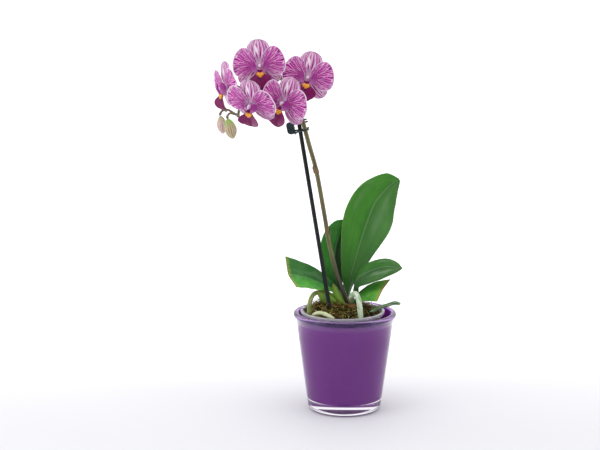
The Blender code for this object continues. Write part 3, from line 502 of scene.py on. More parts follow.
def steel_finish():
    finish = Finish("spring steel", metallic=1.0)
    drawn = finish.grain(1500.0, 3.0)
    finish.put("Base Color", finish.blend(drawn, "b9bbbd", "8d8f92"))
    finish.put("Roughness", 0.22 + drawn * 0.2)
    finish.relief(drawn, 0.00002)
    return finish


def soil_finish():
    finish = Finish("peat and fibre", roughness=0.9, specular_ior_level=0.2)
    crumbs = finish.grain(420.0, 6.0, 0.7)
    finish.put("Base Color", finish.ramp(crumbs, (0.3, "0a0703"), (0.5, "181107"), (0.7, "2f220e")))
    finish.relief(crumbs, 0.0012)
    return finish


def bark_finish():
    """Bark flakes. U is one number for each flake, from dark to tan."""
    finish = Finish("bark", roughness=0.85, specular_ior_level=0.2)
    own, _ = finish.uv()
    grain = finish.grain(380.0, 6.0, 0.7)
    layers = finish.noise(finish.vector(own * 9.0, finish.height() * 900.0), 1.0, 3.0)
    base = finish.ramp(own, (0.0, "170e07"), (0.45, "37220f"), (0.8, "64431f"), (1.0, "9c7645"))
    color = finish.blend(grain.between(0.45, 0.7) * 0.6, base, "1a0f07")
    finish.put("Base Color", finish.blend(layers.between(0.55, 0.75) * 0.35, color, "7d5f38"))
    finish.relief(grain * 0.7 + layers * 0.3, 0.0008)
    return finish


def moss_finish():
    """Moss strands. U is one number for each strand, from straw through olive to green."""
    finish = Finish("moss", roughness=0.8, specular_ior_level=0.2)
    own, along = finish.uv()
    stops = [(0.0, "dcbf82"), (0.3, "7a611f"), (0.55, "3a380b"), (0.8, "66731a"), (1.0, "b4bb55")]
    base = finish.ramp(own, *stops)
    finish.put("Base Color", finish.blend(along.between(0.4, 0.0) * 0.6, base, "241a08"))
    finish.relief(finish.grain(1500.0, 3.0), 0.0002)
    return finish


def floor_finish():
    """Pale, and brighter towards the back of the studio, where it glows: painted light that fades it into the
    white behind.
    """
    finish = Finish("studio floor", roughness=0.6, specular_ior_level=0.1, emission_strength=1.0)
    finish.put("Base Color", "e6e6ea")
    depth = finish.node("ShaderNodeSeparateXYZ", None, {"Vector": finish.position()}, output=1)
    finish.put("Emission Color", finish.blend(depth.between(-0.15, 0.7), "000000", "cccccc"))
    return finish


# ---------------------------------------------------------------- modelling


def added(name, data):
    """A new object in the scene, with this data."""
    thing = bpy.data.objects.new(name, data)
    bpy.context.scene.collection.objects.link(thing)
    return thing


def deselect():
    bpy.ops.object.select_all(action="DESELECT")


def take(thing):
    """Makes an object the only selected one and the active one."""
    deselect()
    thing.select_set(True)
    bpy.context.view_layer.objects.active = thing
    return thing


def named(thing, name, *finishes):
    thing.name = name
    thing.data.name = name
    thing.data.materials.clear()
    for finish in finishes:
        thing.data.materials.append(finish.material)
    return thing


def smooth(thing, angle=60):
    take(thing)
    bpy.ops.object.shade_smooth_by_angle(angle=math.radians(angle))
    return thing


def modify(thing, kind, **settings):
    """Adds a modifier and applies it."""
    take(thing)
    modifier = thing.modifiers.new(kind.lower(), kind)
    for name, value in settings.items():
        setattr(modifier, name, value)
    bpy.ops.object.modifier_apply(modifier=modifier.name)
    return thing


def outward(thing):
    """Merges doubles and turns every face outwards."""
    take(thing)
    bpy.ops.object.mode_set(mode="EDIT")
    bpy.ops.mesh.select_all(action="SELECT")
    bpy.ops.mesh.remove_doubles(threshold=0.000002)
    bpy.ops.mesh.normals_make_consistent(inside=False)
    bpy.ops.object.mode_set(mode="OBJECT")
    return thing


def settle(thing):
    """Puts the object's place into its mesh."""
    take(thing)
    bpy.ops.object.transform_apply(location=True, rotation=True, scale=True)
    return thing


def joined(things, name):
    """One object made of several. It keeps each one's finish."""
    deselect()
    for thing in things:
        thing.select_set(True)
    bpy.context.view_layer.objects.active = things[0]
    bpy.ops.object.join()
    things[0].name = name
    things[0].data.name = name
    return things[0]


def keep(thing, name, finish, node, slot, body="plant"):
    """Settles a finished piece: its name, finish and body, and the CAD node that it stands for. The slot is
    not used.
    A piece of several finishes comes with them on it, and a loose piece stands for no node."""
    thing.name = thing.data.name = name
    if finish:
        named(thing, name, finish)
    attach(thing, body)
    if node:
        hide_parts(node)


def object_from(shape, name):
    """A new object from a mesh in the making."""
    bmesh.ops.recalc_face_normals(shape, faces=shape.faces)
    mesh = bpy.data.meshes.new(name)
    shape.to_mesh(mesh)
    shape.free()
    return added(name, mesh)


def lathe(profile, segments, center=(0.0, 0.0)):
    """A turned shape. The profile holds (radius, height) points in mm, from the axis out and back to it."""
    mesh = bpy.data.meshes.new("profile")
    points = [(center[0] + radius * MM, center[1], height * MM) for radius, height in profile]
    mesh.from_pydata(points, [(n, n + 1) for n in range(len(points) - 1)], [])
    thing = take(added("profile", mesh))
    bpy.ops.object.mode_set(mode="EDIT")
    bpy.ops.mesh.select_all(action="SELECT")
    bpy.ops.mesh.spin(steps=segments, angle=TAU, center=(*center, 0.0), axis=(0.0, 0.0, 1.0))
    bpy.ops.object.mode_set(mode="OBJECT")
    return outward(thing)


def arc(center_r, center_z, radius, first, last, steps):
    """Points of an arc in a turned profile, its angles in degrees from outwards towards up."""
    angles = [math.radians(first + (last - first) * step / steps) for step in range(steps + 1)]
    return [(center_r + radius * math.cos(a), center_z + radius * math.sin(a)) for a in angles]


def sheet(columns, rows, place):
    """A grid bent into a blade. place gives the point for u from -1 to 1 across and v from 0 to 1 along."""
    deselect()
    bpy.ops.mesh.primitive_grid_add(x_subdivisions=columns, y_subdivisions=rows, size=2.0)
    thing = bpy.context.object
    for vertex in thing.data.vertices:
        vertex.co = place(vertex.co.x, (vertex.co.y + 1) / 2)
    return thing


def thickened(blade, thickness, offset=0.0, rounded=True):
    """Gives a blade its thickness in mm, and rounds it."""
    modify(blade, "SOLIDIFY", thickness=thickness * MM, offset=offset)
    if rounded:
        modify(blade, "SUBSURF", levels=1, render_levels=1)
    return smooth(outward(blade))


def ball(center, radius, squash, segments, rings):
    """A squashed ball. Its centre and radius are in mm."""
    deselect()
    center = Vector(center) * MM
    sizes = {"segments": segments, "ring_count": rings, "radius": radius * MM}
    bpy.ops.mesh.primitive_uv_sphere_add(location=center, **sizes)
    bpy.context.object.scale = squash
    return smooth(settle(bpy.context.object))


def in_mm(points):
    return [Vector(point) * MM for point in points]


def spline(points, count):
    """Points evenly spread along a smooth curve through the given points."""
    ends = [2 * points[0] - points[1], *points, 2 * points[-1] - points[-2]]
    fine = []
    for before, start, end, after in zip(ends, ends[1:], ends[2:], ends[3:]):
        for step in range(16):
            t = step / 16
            bend = (2 * before - 5 * start + 4 * end - after) * t**2
            twist = (3 * start - before - 3 * end + after) * t**3
            fine.append(0.5 * (2 * start + (end - before) * t + bend + twist))
    fine.append(points[-1].copy())
    reach = [0.0]
    for here, there in zip(fine, fine[1:]):
        reach.append(reach[-1] + (there - here).length)
    spread = []
    near = 0
    for number in range(count):
        wanted = reach[-1] * number / (count - 1)
        while near < len(fine) - 2 and reach[near + 1] < wanted:
            near += 1
        share = (wanted - reach[near]) / (reach[near + 1] - reach[near])
        spread.append(fine[near].lerp(fine[near + 1], share))
    return spread


def along(path, t):
    """The point and the direction of a path at t from 0 to 1."""
    spot = min(t, 0.99999) * (len(path) - 1)
    low = int(spot)
    point = path[low].lerp(path[low + 1], spot - low)
    before, after = path[max(low - 1, 0)], path[min(low + 2, len(path) - 1)]
    return point, (after - before).normalized()


def between(table, t):
    """Value at t in a list of (t, value) pairs, eased between neighbours."""
    for (low, first), (high, second) in zip(table, table[1:]):
        if t <= high:
            share = max(0.0, (t - low) / (high - low))
            return first + (second - first) * share * share * (3 - 2 * share)
    return table[-1][1]


def flowing(table, t):
    """Value at t on a smooth curve through (t, value) pairs."""
    places = [place for place, _ in table]
    spot = max(n for n in range(len(table) - 1) if places[n] <= t or n == 0)
    low, high = table[spot], table[spot + 1]
    before = table[max(spot - 1, 0)]
    after = table[min(spot + 2, len(table) - 1)]
    width = high[0] - low[0]
    first = (high[1] - before[1]) / (high[0] - before[0]) * width
    last = (after[1] - low[1]) / (after[0] - low[0]) * width
    s = (t - low[0]) / width
    steady = low[1] * (2 * s**3 - 3 * s**2 + 1) + high[1] * (3 * s**2 - 2 * s**3)
    return steady + first * (s**3 - 2 * s**2 + s) + last * (s**3 - s**2)


def skin(shape, layer, rings, corner):
    """Faces round the rings and over both ends. corner gives the map's place for a side and a ring."""
    sides = len(rings[0])
    for row, (low, high) in enumerate(zip(rings, rings[1:])):
        for side in range(sides):
            after = (side + 1) % sides
            face = shape.faces.new((low[side], low[after], high[after], high[side]))
            steps = ((side, row), (side + 1, row), (side + 1, row + 1), (side, row + 1))
            for loop, step in zip(face.loops, steps):
                loop[layer].uv = corner(*step)
    for row in (0, len(rings) - 1):
        for loop in shape.faces.new(rings[row]).loops:
            loop[layer].uv = corner(sides / 2, row)


def tube(path, radius, sides):
    """A round stem along a path. radius gives its radius in metres for t along it and an angle round it.
    Its map has U round it and V along it, in cm."""
    shape = bmesh.new()
    rows = []
    across = (path[1] - path[0]).normalized().orthogonal().normalized()
    reach = [0.0]
    for number, point in enumerate(path):
        ahead = path[min(number + 1, len(path) - 1)] - path[max(number - 1, 0)]
        ahead.normalize()
        across = (across - ahead * across.dot(ahead)).normalized()
        other = ahead.cross(across)
        ring = []
        for side in range(sides):
            angle = TAU * side / sides
            offset = across * math.cos(angle) + other * math.sin(angle)
            ring.append(shape.verts.new(point + offset * radius(number / (len(path) - 1), angle)))
        rows.append(ring)
        if number:
            reach.append(reach[-1] + (point - path[number - 1]).length)
    layer = shape.loops.layers.uv.new("UVMap")
    skin(shape, layer, rows, lambda side, row: (side / sides, reach[row] * 100))
    return object_from(shape, "stem")


def wobble(seed, *waves):
    """A smooth made-up function of a place along a stem and an angle round it, within about -1 to 1."""
    chance = random.Random(seed)
    parts = [(chance.uniform(0, TAU), chance.uniform(0, TAU), wave) for wave in waves]

    def value(t, angle=0.0):
        total = 0.0
        for first, second, wave in parts:
            total += math.sin(wave * t + first) * math.cos(2 * angle + second + t)
        return total / len(parts)

    return value


# ---------------------------------------------------------------- jar and pot


def jar_inside(height):
    """Radius in mm of the glass wall's inner side at a height."""
    return JAR_FOOT_RADIUS - JAR_WALL + (JAR_MOUTH_RADIUS - JAR_FOOT_RADIUS) * height / JAR_HEIGHT


def make_jar():
    rise = (JAR_MOUTH_RADIUS - JAR_FOOT_RADIUS) / JAR_HEIGHT
    shoulder = JAR_HEIGHT - LIP_HEIGHT
    corner_r = JAR_FOOT_RADIUS + rise * FOOT_ROUNDING - FOOT_ROUNDING
    dome = (0.0, 0.2, 0.4, 0.6, 0.75, 0.88)
    profile = [(corner_r * share, PUNT_RISE * (1 - share**2)) for share in dome]
    profile += [(corner_r - 1.2, 0.0)]
    profile += arc(corner_r, FOOT_ROUNDING, FOOT_ROUNDING, -90, 0, 14)
    profile += [(JAR_FOOT_RADIUS + rise * height, height) for height in (20, 40, 60, 80, shoulder - 1)]
    lip_r = JAR_MOUTH_RADIUS + LIP_OVERHANG - LIP_HEIGHT / 2
    profile += arc(lip_r, JAR_HEIGHT - LIP_HEIGHT / 2, LIP_HEIGHT / 2, -62, 90, 14)
    profile += arc(jar_inside(JAR_HEIGHT) + 1.2, JAR_HEIGHT - 1.2, 1.2, 90, 180, 6)
    profile += [(jar_inside(height), height) for height in (90, 70, 50, 30)]
    round_z = JAR_BASE + FLOOR_ROUNDING
    floor_r = jar_inside(round_z) - FLOOR_ROUNDING
    profile += arc(floor_r, round_z, FLOOR_ROUNDING, 0, -90, 8)
    profile += [(floor_r * 0.5, JAR_BASE), (0.0, JAR_BASE)]
    jar = smooth(lathe(profile, 160), 40)
    keep(jar, "jar", glass_finish(), "glass_jar", "jar_glass")

    top = JAR_HEIGHT - LINING_BELOW_RIM
    low = JAR_BASE - LINING_BITE
    corner = arc(floor_r, round_z, FLOOR_ROUNDING, -90, 0, 8)
    profile = [(0.0, low)]
    profile += [(r + LINING_BITE, z - LINING_BITE) for r, z in corner]
    profile += [(jar_inside(height) + LINING_BITE, height) for height in (30, 60, 90, top)]
    profile += [(jar_inside(height) - LINING_WALL, height) for height in (top, 90, 60, 30)]
    profile += arc(floor_r, round_z, FLOOR_ROUNDING - LINING_WALL, 0, -90, 8)
    profile += [(0.0, JAR_BASE + LINING_WALL)]
    lining = smooth(lathe(profile, 160), 40)
    keep(lining, "lining", lining_finish(), "jar_lining", "purple_lining")


def make_pot():
    """The clear pot. Its rim is turned over."""
    radius = (pot_high.x - pot_low.x) / 2 / MM
    top, floor = POT_TOP / MM, pot_low.z / MM
    mouth = radius - 2.0
    foot = POT_FOOT_RADIUS
    soft = POT_RIM_ROUNDING

    def outside(height):
        return foot + (mouth - foot) * (height - floor) / (top - floor)

    profile = [(0.0, floor), (foot - 3, floor), (foot - 2.4, floor + 0.5), (foot - 1, floor)]
    profile += arc(foot - 0.8, floor + 0.8, 0.8, -70, 0, 4)
    profile += [(outside(height), height) for height in (30, 55, 80, 98, top - 1.1)]
    profile += [(radius - POT_WALL, top - 0.9), (radius - POT_WALL, top - 2.7)]
    profile += arc(radius - POT_WALL / 2, top - 2.7, POT_WALL / 2, -180, 0, 4)
    profile += arc(radius - soft * 2, top - soft * 2, soft * 2, 0, 90, 5)
    profile += arc(outside(top) - POT_WALL + soft, top - soft, soft, 90, 180, 4)
    profile += [(outside(height) - POT_WALL, height) for height in (98, 80, 55, 30, floor + 2)]
    profile += [(foot - 3, floor + POT_WALL), (0.0, floor + POT_WALL)]
    pot = smooth(lathe(profile, 128, (POT_MIDDLE.x, POT_MIDDLE.y)), 35)
    drills = []
    for number in range(DRAIN_HOLES):
        angle = TAU * number / DRAIN_HOLES
        deselect()
        x, y = POT_MIDDLE.x + 0.02 * math.cos(angle), POT_MIDDLE.y + 0.02 * math.sin(angle)
        spot = (x, y, pot_low.z)
        bpy.ops.mesh.primitive_cylinder_add(vertices=32, radius=0.003, depth=0.006, location=spot)
        drills.append(bpy.context.object)
    drill = joined(drills, "drain_drill")
    modify(pot, "BOOLEAN", object=drill, operation="DIFFERENCE", solver="EXACT")
    bpy.data.objects.remove(drill, do_unlink=True)
    keep(pot, "pot", pot_finish(), "nursery_pot", "clear_plastic")


# ---------------------------------------------------------------- potting mix


def soil_surface():
    """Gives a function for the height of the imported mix's surface at X and Y."""
    mesh = frame["nodes"]["potting_mix"].data
    points = [vertex.co.copy() for vertex in mesh.vertices]
    tree = BVHTree.FromPolygons(points, [tuple(face.vertices) for face in mesh.polygons])

    def height(x, y):
        hit = tree.ray_cast(Vector((x, y, 0.2)), Vector((0, 0, -1)))[0]
        return max(hit.z if hit else SOIL_EDGE, SOIL_EDGE - 0.001)

    return height


def in_disc(chance, reach):
    """A point of the mix, as X and Y, within a share of its radius."""
    turn, far = chance.uniform(0, TAU), SOIL_RADIUS * reach * math.sqrt(chance.random())
    return POT_MIDDLE.x + far * math.cos(turn), POT_MIDDLE.y + far * math.sin(turn)


def make_mound(height):
    """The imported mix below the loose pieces: a lumpy top on a plain body."""
    rough = wobble(3, 41, 67, 23)
    floor = pot_low.z + 1.1 * MM

    def place(u, v):
        angle, reach = math.pi * u, v
        x = POT_MIDDLE.x + SOIL_RADIUS * reach * math.cos(angle)
        y = POT_MIDDLE.y + SOIL_RADIUS * reach * math.sin(angle)
        lump = 0.9 * MM * rough(x * 9, y * 160) * (1 - reach**6)
        return Vector((x, y, height(x, y) - 0.8 * MM + lump))

    mound = outward(sheet(64, 30, place))
    take(mound)
    bpy.ops.object.mode_set(mode="EDIT")
    bpy.ops.mesh.select_all(action="DESELECT")
    bpy.ops.mesh.select_non_manifold()
    bpy.ops.mesh.extrude_region_move(TRANSFORM_OT_translate={"value": (0, 0, floor - SOIL_EDGE)})
    foot = POT_FOOT_RADIUS * MM / SOIL_RADIUS
    bpy.ops.transform.resize(value=(foot, foot, 0.0), center_override=(POT_MIDDLE.x, 0.0, floor))
    bpy.ops.mesh.edge_face_add()
    bpy.ops.object.mode_set(mode="OBJECT")
    outward(mound)
    smooth(mound)
    keep(mound, "mix", soil_finish(), "potting_mix", "bark_and_moss")


def make_flake(chance, size):
    """A flake of bark: a split block with uneven corners."""
    deselect()
    bpy.ops.mesh.primitive_cube_add(size=1.0)
    flake = bpy.context.object
    bpy.ops.object.mode_set(mode="EDIT")
    bpy.ops.mesh.subdivide(number_cuts=1)
    bpy.ops.object.mode_set(mode="OBJECT")
    for vertex in flake.data.vertices:
        vertex.co += Vector([chance.uniform(-0.16, 0.16) for _ in range(3)])
        vertex.co.x *= size * chance.uniform(0.9, 1.1)
        vertex.co.y *= size * 0.62
        vertex.co.z *= size * 0.28
    modify(flake, "BEVEL", width=size * 0.03, segments=1)
    return flake


def scatter(source, mesh, place, own):
    """Adds a copy of the source at a place to a mesh in the making, with its own number as U."""
    layer = mesh.loops.layers.uv.verify()
    made = [mesh.verts.new(place @ vertex.co) for vertex in source.vertices]
    for face in source.polygons:
        new = mesh.faces.new([made[n] for n in face.vertices])
        for loop in new.loops:
            loop[layer].uv = (own, 0.5)


def make_bark(height):
    chance = random.Random(11)
    flakes = [make_flake(chance, 1.0) for _ in range(7)]
    shape = bmesh.new()
    for number in range(BARK_FLAKES):
        x, y = in_disc(chance, 0.93)
        size = chance.uniform(3.0, 8.5) * MM
        turn = Matrix.Rotation(chance.uniform(0, TAU), 4, "Z")
        tilt = Matrix.Rotation(chance.gauss(0, 0.45), 4, "X") @ Matrix.Rotation(chance.gauss(0, 0.45), 4, "Y")
        lift = height(x, y) + chance.uniform(-0.1, 0.25) * size
        where = Matrix.Translation((x, y, lift)) @ turn @ tilt @ Matrix.Scale(size, 4)
        scatter(flakes[number % len(flakes)].data, shape, where, chance.random() ** 2)
    bark = object_from(shape, "bark_bits")
    for flake in flakes:
        bpy.data.objects.remove(flake, do_unlink=True)
    keep(smooth(bark, 35), "bark_bits", bark_finish(), None, "bark")


def make_moss(height):
    """Strands of moss: short thin curls, longest and palest in the tuft round the stake."""
    chance = random.Random(5)
    shape = bmesh.new()
    layer = shape.loops.layers.uv.new("UVMap")
    tuft = Vector((POT_MIDDLE.x - 0.36 * SOIL_RADIUS, 0.0))
    for number in range(MOSS_STRANDS):
        x, y = in_disc(chance, 0.96)
        in_tuft = number % 3 == 0
        stretch, hue = (1.25, 0.36) if in_tuft else (1.0, 0.48)
        if in_tuft:
            x, y = chance.gauss(tuft.x, 0.009), chance.gauss(tuft.y - 0.004, 0.009)
        if (Vector((x, y)) - POT_MIDDLE.xy).length > SOIL_RADIUS * 0.97:
            continue
        point = Vector((x, y, height(x, y) - 0.3 * MM))
        heading = Vector((chance.gauss(0, 1), chance.gauss(0, 1), chance.uniform(0.2, 1.2))).normalized()
        length = chance.uniform(3.5, 11.0) * MM * stretch
        thick = chance.uniform(0.2, 0.6) * MM
        own = min(1.0, max(0.0, chance.gauss(hue, 0.33)))
        rings = []
        for step in range(5):
            t = step / 4
            across = heading.orthogonal().normalized()
            other = heading.cross(across)
            spin = [across * math.cos(a) + other * math.sin(a) for a in (0, TAU / 3, 2 * TAU / 3)]
            rings.append([shape.verts.new(point + s * thick * (1 - 0.75 * t)) for s in spin])
            point = point + heading * length / 4
            heading = heading + Vector((chance.gauss(0, 0.4), chance.gauss(0, 0.4), chance.gauss(-0.28, 0.3)))
            heading.normalize()
        skin(shape, layer, rings, lambda side, row: (own, row / 4))
    keep(smooth(object_from(shape, "moss")), "moss", moss_finish(), None, "bark_and_moss")


def make_chips():
    """The two loose flakes that lie on top, from their CAD shapes."""
    finish = bark_finish()
    for number in (1, 2):
        node = f"bark_chip_{number}"
        source = frame["nodes"][node]
        chip = outward(added(f"chip_{number}", source.data.copy()))
        modify(chip, "BEVEL", width=0.35 * MM, segments=2, limit_method="ANGLE")
        modify(chip, "REMESH", mode="VOXEL", voxel_size=0.45 * MM)
        jagged = wobble(number, 900, 1500, 2300)
        for vertex in chip.data.vertices:
            vertex.co += vertex.normal * 0.3 * MM * jagged(vertex.co.x + vertex.co.z, vertex.co.y * 700)
        layer = chip.data.uv_layers.new(name="UVMap")
        for corner in layer.data:
            corner.uv = (0.35 + 0.2 * number, 0.5)
        smooth(chip, 40)
        keep(chip, f"chip_{number}", finish, node, "bark")


# ---------------------------------------------------------------- plant


def plant_point(x, y, height):
    """A point of the plant: X and Y from the jar's middle and a height above the soil's edge, in mm."""
    return Vector((x * MM, y * MM, SOIL_EDGE + height * MM))


# Some leaves have painted shade over the half of the blade past the midrib, where the fold and the leaves in
# front shade it.
LEAVES = {
    "leaf_tall": dict(
        midrib=[(2.5, 5, 16), (5.4, 4, 37), (8.5, 6, 49), (15.0, 9, 71.5)]
        + [(22.5, 14, 94), (32, 20, 117), (46.5, 25, 134), (58.5, 26, 141.5)],
        side=((1, 0.15, 0), (0.75, 0.25, -0.6)),
        widths=[(0, 6), (0.12, 8), (0.32, 17), (0.6, 26.5), (0.8, 23), (0.93, 14.5), (1, 6.5)],
        fold=17,
        wave=0.7,
        fuller=0.26,
        colors=("1e4f14", "377a20", "468a2a"),
        sheen=("7f9b74", 0.22),
        painted_shade_half=0.3,
    ),
    "leaf_behind": dict(
        midrib=[(-3.5, 11, 15), (-9.4, 11, 34), (-11.5, 13, 54.5)]
        + [(-9.5, 17, 71), (-4.5, 23, 86), (3.0, 29, 97)],
        side=((1, 0.1, 0.15), (0.8, 0.35, -0.3)),
        widths=[(0, 6), (0.15, 7.5), (0.48, 15.5), (0.72, 16.5), (0.9, 11), (1, 3)],
        fold=24,
        wave=0.5,
        colors=("06280a", "236a18", "348022"),
        sheen=("6f9868", 0.1),
        painted_shade_half=0.9,
    ),
    "leaf_right": dict(
        midrib=[(8, -3, 20), (12, -7, 38), (22.9, -12, 47.5)]
        + [(34.7, -16, 53), (45.9, -20, 55.5), (59, -24, 54.5)],
        side=((0.1, -0.7, -0.7), (0, -0.75, -0.65)),
        widths=[(0, 6), (0.14, 7.5), (0.42, 13), (0.68, 13.5), (0.88, 9), (1, 2)],
        fold=12,
        wave=0.5,
        colors=("163f15", "2b661f", "417a2c"),
        sheen=("8aa682", 0.4),
        painted_shade_half=0.3,
    ),
    "leaf_right_cut": dict(
        midrib=[(8.5, -5, 15), (16.5, -10, 22.5), (28.3, -14, 28.5), (39.7, -18, 31)],
        side=((0, -0.75, -0.65), (-0.49, -0.57, -0.66)),
        widths=[(0, 3.5), (0.3, 8), (0.7, 13), (1, 14.5)],
        fold=10,
        slant=-0.42,
        wave=0.4,
        colors=("1a5a1a", "388f28", "5cab34"),
        sheen=("86b070", 0.15),
        scar=0.06,
    ),
    "leaf_left_cut": dict(
        midrib=[(-7, 1, 20), (-13, 0.2, 27), (-24.6, -2.8, 33.5), (-42, -9.8, 41), (-60.5, -16.8, 46.5)],
        side=((0, 0.65, 0.75), (-0.2, 0.62, 0.76)),
        widths=[(0, 3.5), (0.2, 7), (0.5, 14), (0.8, 17.5), (1, 19.5)],
        fold=-22,
        slant=0.3,
        wave=0.5,
        colors=("174e24", "3f9a30", "66b848"),
        sheen=("86a888", 0.25),
        painted_shade_half=0.7,
        scar=0.02,
    ),
}


def make_leaf(name, leaf):
    path = spline([plant_point(*point) for point in leaf["midrib"]], 60)
    first, last = (Vector(direction) for direction in leaf["side"])
    fold = math.radians(leaf["fold"])
    closed = math.copysign(math.radians(LEAF_FOOT_FOLD), fold)
    slant = leaf.get("slant", 0.0)
    cut = "scar" in leaf
    ripple = wobble(sum(map(ord, name)), 5, 9, 14)

    def place(u, v):
        v = v if cut else math.sin(v * math.pi / 2) ** 0.9
        point, ahead = along(path, v)
        across = first.lerp(last, v)
        across = (across - ahead * across.dot(ahead)).normalized()
        face = ahead.cross(across)
        half = flowing(leaf["widths"], v) * MM
        if not cut:
            half *= math.sqrt(max(0.0, 1 - max(0.0, (v - 0.93) / 0.07) ** 2.4)) * 0.92 + 0.08
        half *= 1 + leaf.get("fuller", 0.0) * max(u, 0.0) * math.sin(math.pi * v**2)
        angle = between([(0.0, closed), (0.22, fold), (1.0, fold)], v)
        rise = math.sin(angle) * (math.sqrt(u * u + 0.012) - 0.11)
        reach = across * u * math.cos(angle) + face * rise + ahead * slant * u * v**3
        edge = face * leaf["wave"] * MM * ripple(v * 2.4, 0.6 * u) * abs(u) ** 2.5
        return point + reach * half + edge

    blade = thickened(sheet(20, 56, place), LEAF_THICKNESS)
    sheen, share = leaf["sheen"]
    look = dict(sheen=sheen, sheen_share=share, painted_shade_half=leaf.get("painted_shade_half", 0.0))
    if cut:
        finish = cut_leaf_finish(name, *leaf["colors"], leaf["scar"], **look)
    else:
        finish, _ = leaf_finish(name, *leaf["colors"], **look)
    keep(blade, f"{name}_blade", finish, name, "leaf")


def make_crown():
    """The short stem, ringed where old leaves sat."""
    low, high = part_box("crown")
    middle = (low + high) / 2
    path = [Vector((middle.x, middle.y, low.z + (high.z - low.z) * t / 20)) for t in range(21)]
    radius = (high.x - low.x) / 2
    uneven = wobble(8, 6, 11)

    def girth(t, angle):
        ring = 0.05 * math.sin(t * 26) ** 2
        share = flowing([(0, 0.7), (0.3, 0.96), (0.6, 0.95), (0.9, 0.75), (1, 0.35)], t)
        return radius * share * (0.93 + ring + 0.05 * uneven(t, angle))

    crown = smooth(tube(path, girth, 28))
    keep(crown, "crown_stem", crown_finish(), "crown", "crown_tissue")


SHEATHS = [
    # midrib, half widths, and direction across, in mm
    (
        [(3, -5, 5), (-3, -7, 14), (-8.5, -7, 24), (-13, -6, 34)],
        [(0, 6), (0.5, 4.8), (0.85, 2.8), (1, 0.5)],
        (0.8, 0.3, 0.5),
    ),
    (
        [(0, -4, 6), (-9, -7, 14), (-18, -9, 21), (-28, -10, 28)],
        [(0, 4.5), (0.4, 6.6), (0.8, 6.2), (1, 3)],
        (0.45, 0.45, 0.8),
    ),
]


def make_sheaths():
    """The old leaf bases that wrap the crown."""
    finish = crown_finish()
    for number, (points, widths, side) in enumerate(SHEATHS, 1):
        path = spline([plant_point(*point) for point in points], 30)
        side = Vector(side)

        def place(u, v):
            point, ahead = along(path, v)
            across = (side - ahead * side.dot(ahead)).normalized()
            face = ahead.cross(across)
            if face.y > 0:
                face = -face
            half = flowing(widths, v) * MM
            return point + across * u * half - face * 0.8 * half * u * u

        scale = thickened(sheet(14, 24, place), SHEATH_THICKNESS)
        keep(scale, f"sheath_{number}", finish, None, "crown_tissue")


ROOTS = {
    # paths as shares of the mix's radius and heights above its edge in mm, radius in mm, colours
    "root_left": (
        [(0.02, 0.09, 12), (-0.14, -0.02, 17), (-0.36, -0.06, 22), (-0.58, -0.12, 25)]
        + [(-0.76, -0.22, 23), (-0.85, -0.28, 15), (-0.86, -0.29, 6), (-0.84, -0.29, -6)],
        2.5,
        ("a39a62", "7a9440", "d2caa0"),
    ),
    "root_front": (
        [(0.26, 0.02, 11), (0.24, -0.17, 17), (0.22, -0.35, 22.5), (0.29, -0.52, 27)]
        + [(0.36, -0.66, 25), (0.41, -0.74, 16), (0.43, -0.77, 7), (0.44, -0.78, -6)],
        2.9,
        ("c6d6ba", "94b384", "f6f8f0"),
    ),
    "root_over_rim": (
        [(0.62, -0.40, -4), (0.72, -0.42, 5.5), (0.92, -0.38, 10.5)]
        + [(1.12, -0.34, 12.5), (1.32, -0.34, 15), (1.48, -0.34, 14)],
        2.1,
        ("6d8a5e", "46653c", "a9bfa4"),
    ),
    "root_pale": (
        [(-0.80, -0.46, -3), (-0.74, -0.54, 4), (-0.60, -0.66, 7.5)]
        + [(-0.42, -0.76, 6), (-0.26, -0.82, 2), (-0.18, -0.84, -5)],
        2.2,
        ("d9dcb4", "b3c487", "f2f1dc"),
    ),
}


def make_roots():
    for number, (name, (points, radius, colors)) in enumerate(ROOTS.items()):
        path = []
        for x, y, height in points:
            spot = POT_MIDDLE.xy + Vector((x, y)) * SOIL_RADIUS
            path.append(Vector((*spot, SOIL_EDGE + height * MM)))
        uneven = wobble(20 + number, 17, 31, 53)
        free_end = name == "root_over_rim"

        def girth(t, angle):
            share = 0.96 + 0.07 * uneven(t, angle)
            if free_end:
                share *= math.sqrt(max(0.02, 1 - max(0.0, (t - 0.9) / 0.1) ** 2))
            return radius * MM * share

        root = smooth(tube(spline(path, 90), girth, 20))
        keep(root, f"{name}_skin", root_finish(name, *colors), name, "root")


SPIKE = [
    # X and Y in mm from the jar's middle, and height above the soil's edge in mm
    (2.6, -3.0, 5.1),
    (1.1, -4.0, 16.7),
    (-4.9, -6.0, 33.9),
    (-10.8, -6.0, 51.6),
    (-17.5, -5.0, 80.5),
    (-22.4, -2.0, 109.3),
    (-30.6, 0.0, 153.6),
    (-38.5, 4.0, 182.2),
    (-48.0, 10.0, 216.1),
    (-55.4, 16.0, 237.1),
    (-65.9, 18.0, 249.0),
    (-79.6, 16.0, 253.0),
    (-94.2, 12.0, 249.5),
    (-104.7, 8.0, 237.3),
    (-110.9, 4.0, 222.9),
    (-112.9, 0.0, 211.0),
]

# Which point of the spike each flower's stalk leaves, and its bends from there in mm.
STALKS = [
    (10, [(-8, -4, 11), (-20, -16, 19)]),
    (8, [(4, 4, 20), (8, -1, 34)]),
    (9, [(-11, -10, -2), (-11, -30, -7)]),
    (11, [(-3, -14, -5), (-8, -36, -14)]),
    (13, [(-6, 3, 4)]),
]

BUDS = {
    # centre from the spike's tip, axis, length, width, bends of its stalk
    "bud_small": ((-17.0, 0, -7.6), (0.14, 0, -1), 19.6, 11.4, [(-5.5, 1, 5), (-11, 0, 8), (-16, 0, 7)]),
    "bud_large": ((-7.4, -13, -10.4), (0.26, 0, -1), 22.4, 13.4, [(-3, -4, 3.5), (-8, -9, 5)]),
}


def centroid(node):
    points = [vertex.co for vertex in frame["nodes"][node].data.vertices]
    return sum(points, Vector()) / len(points)


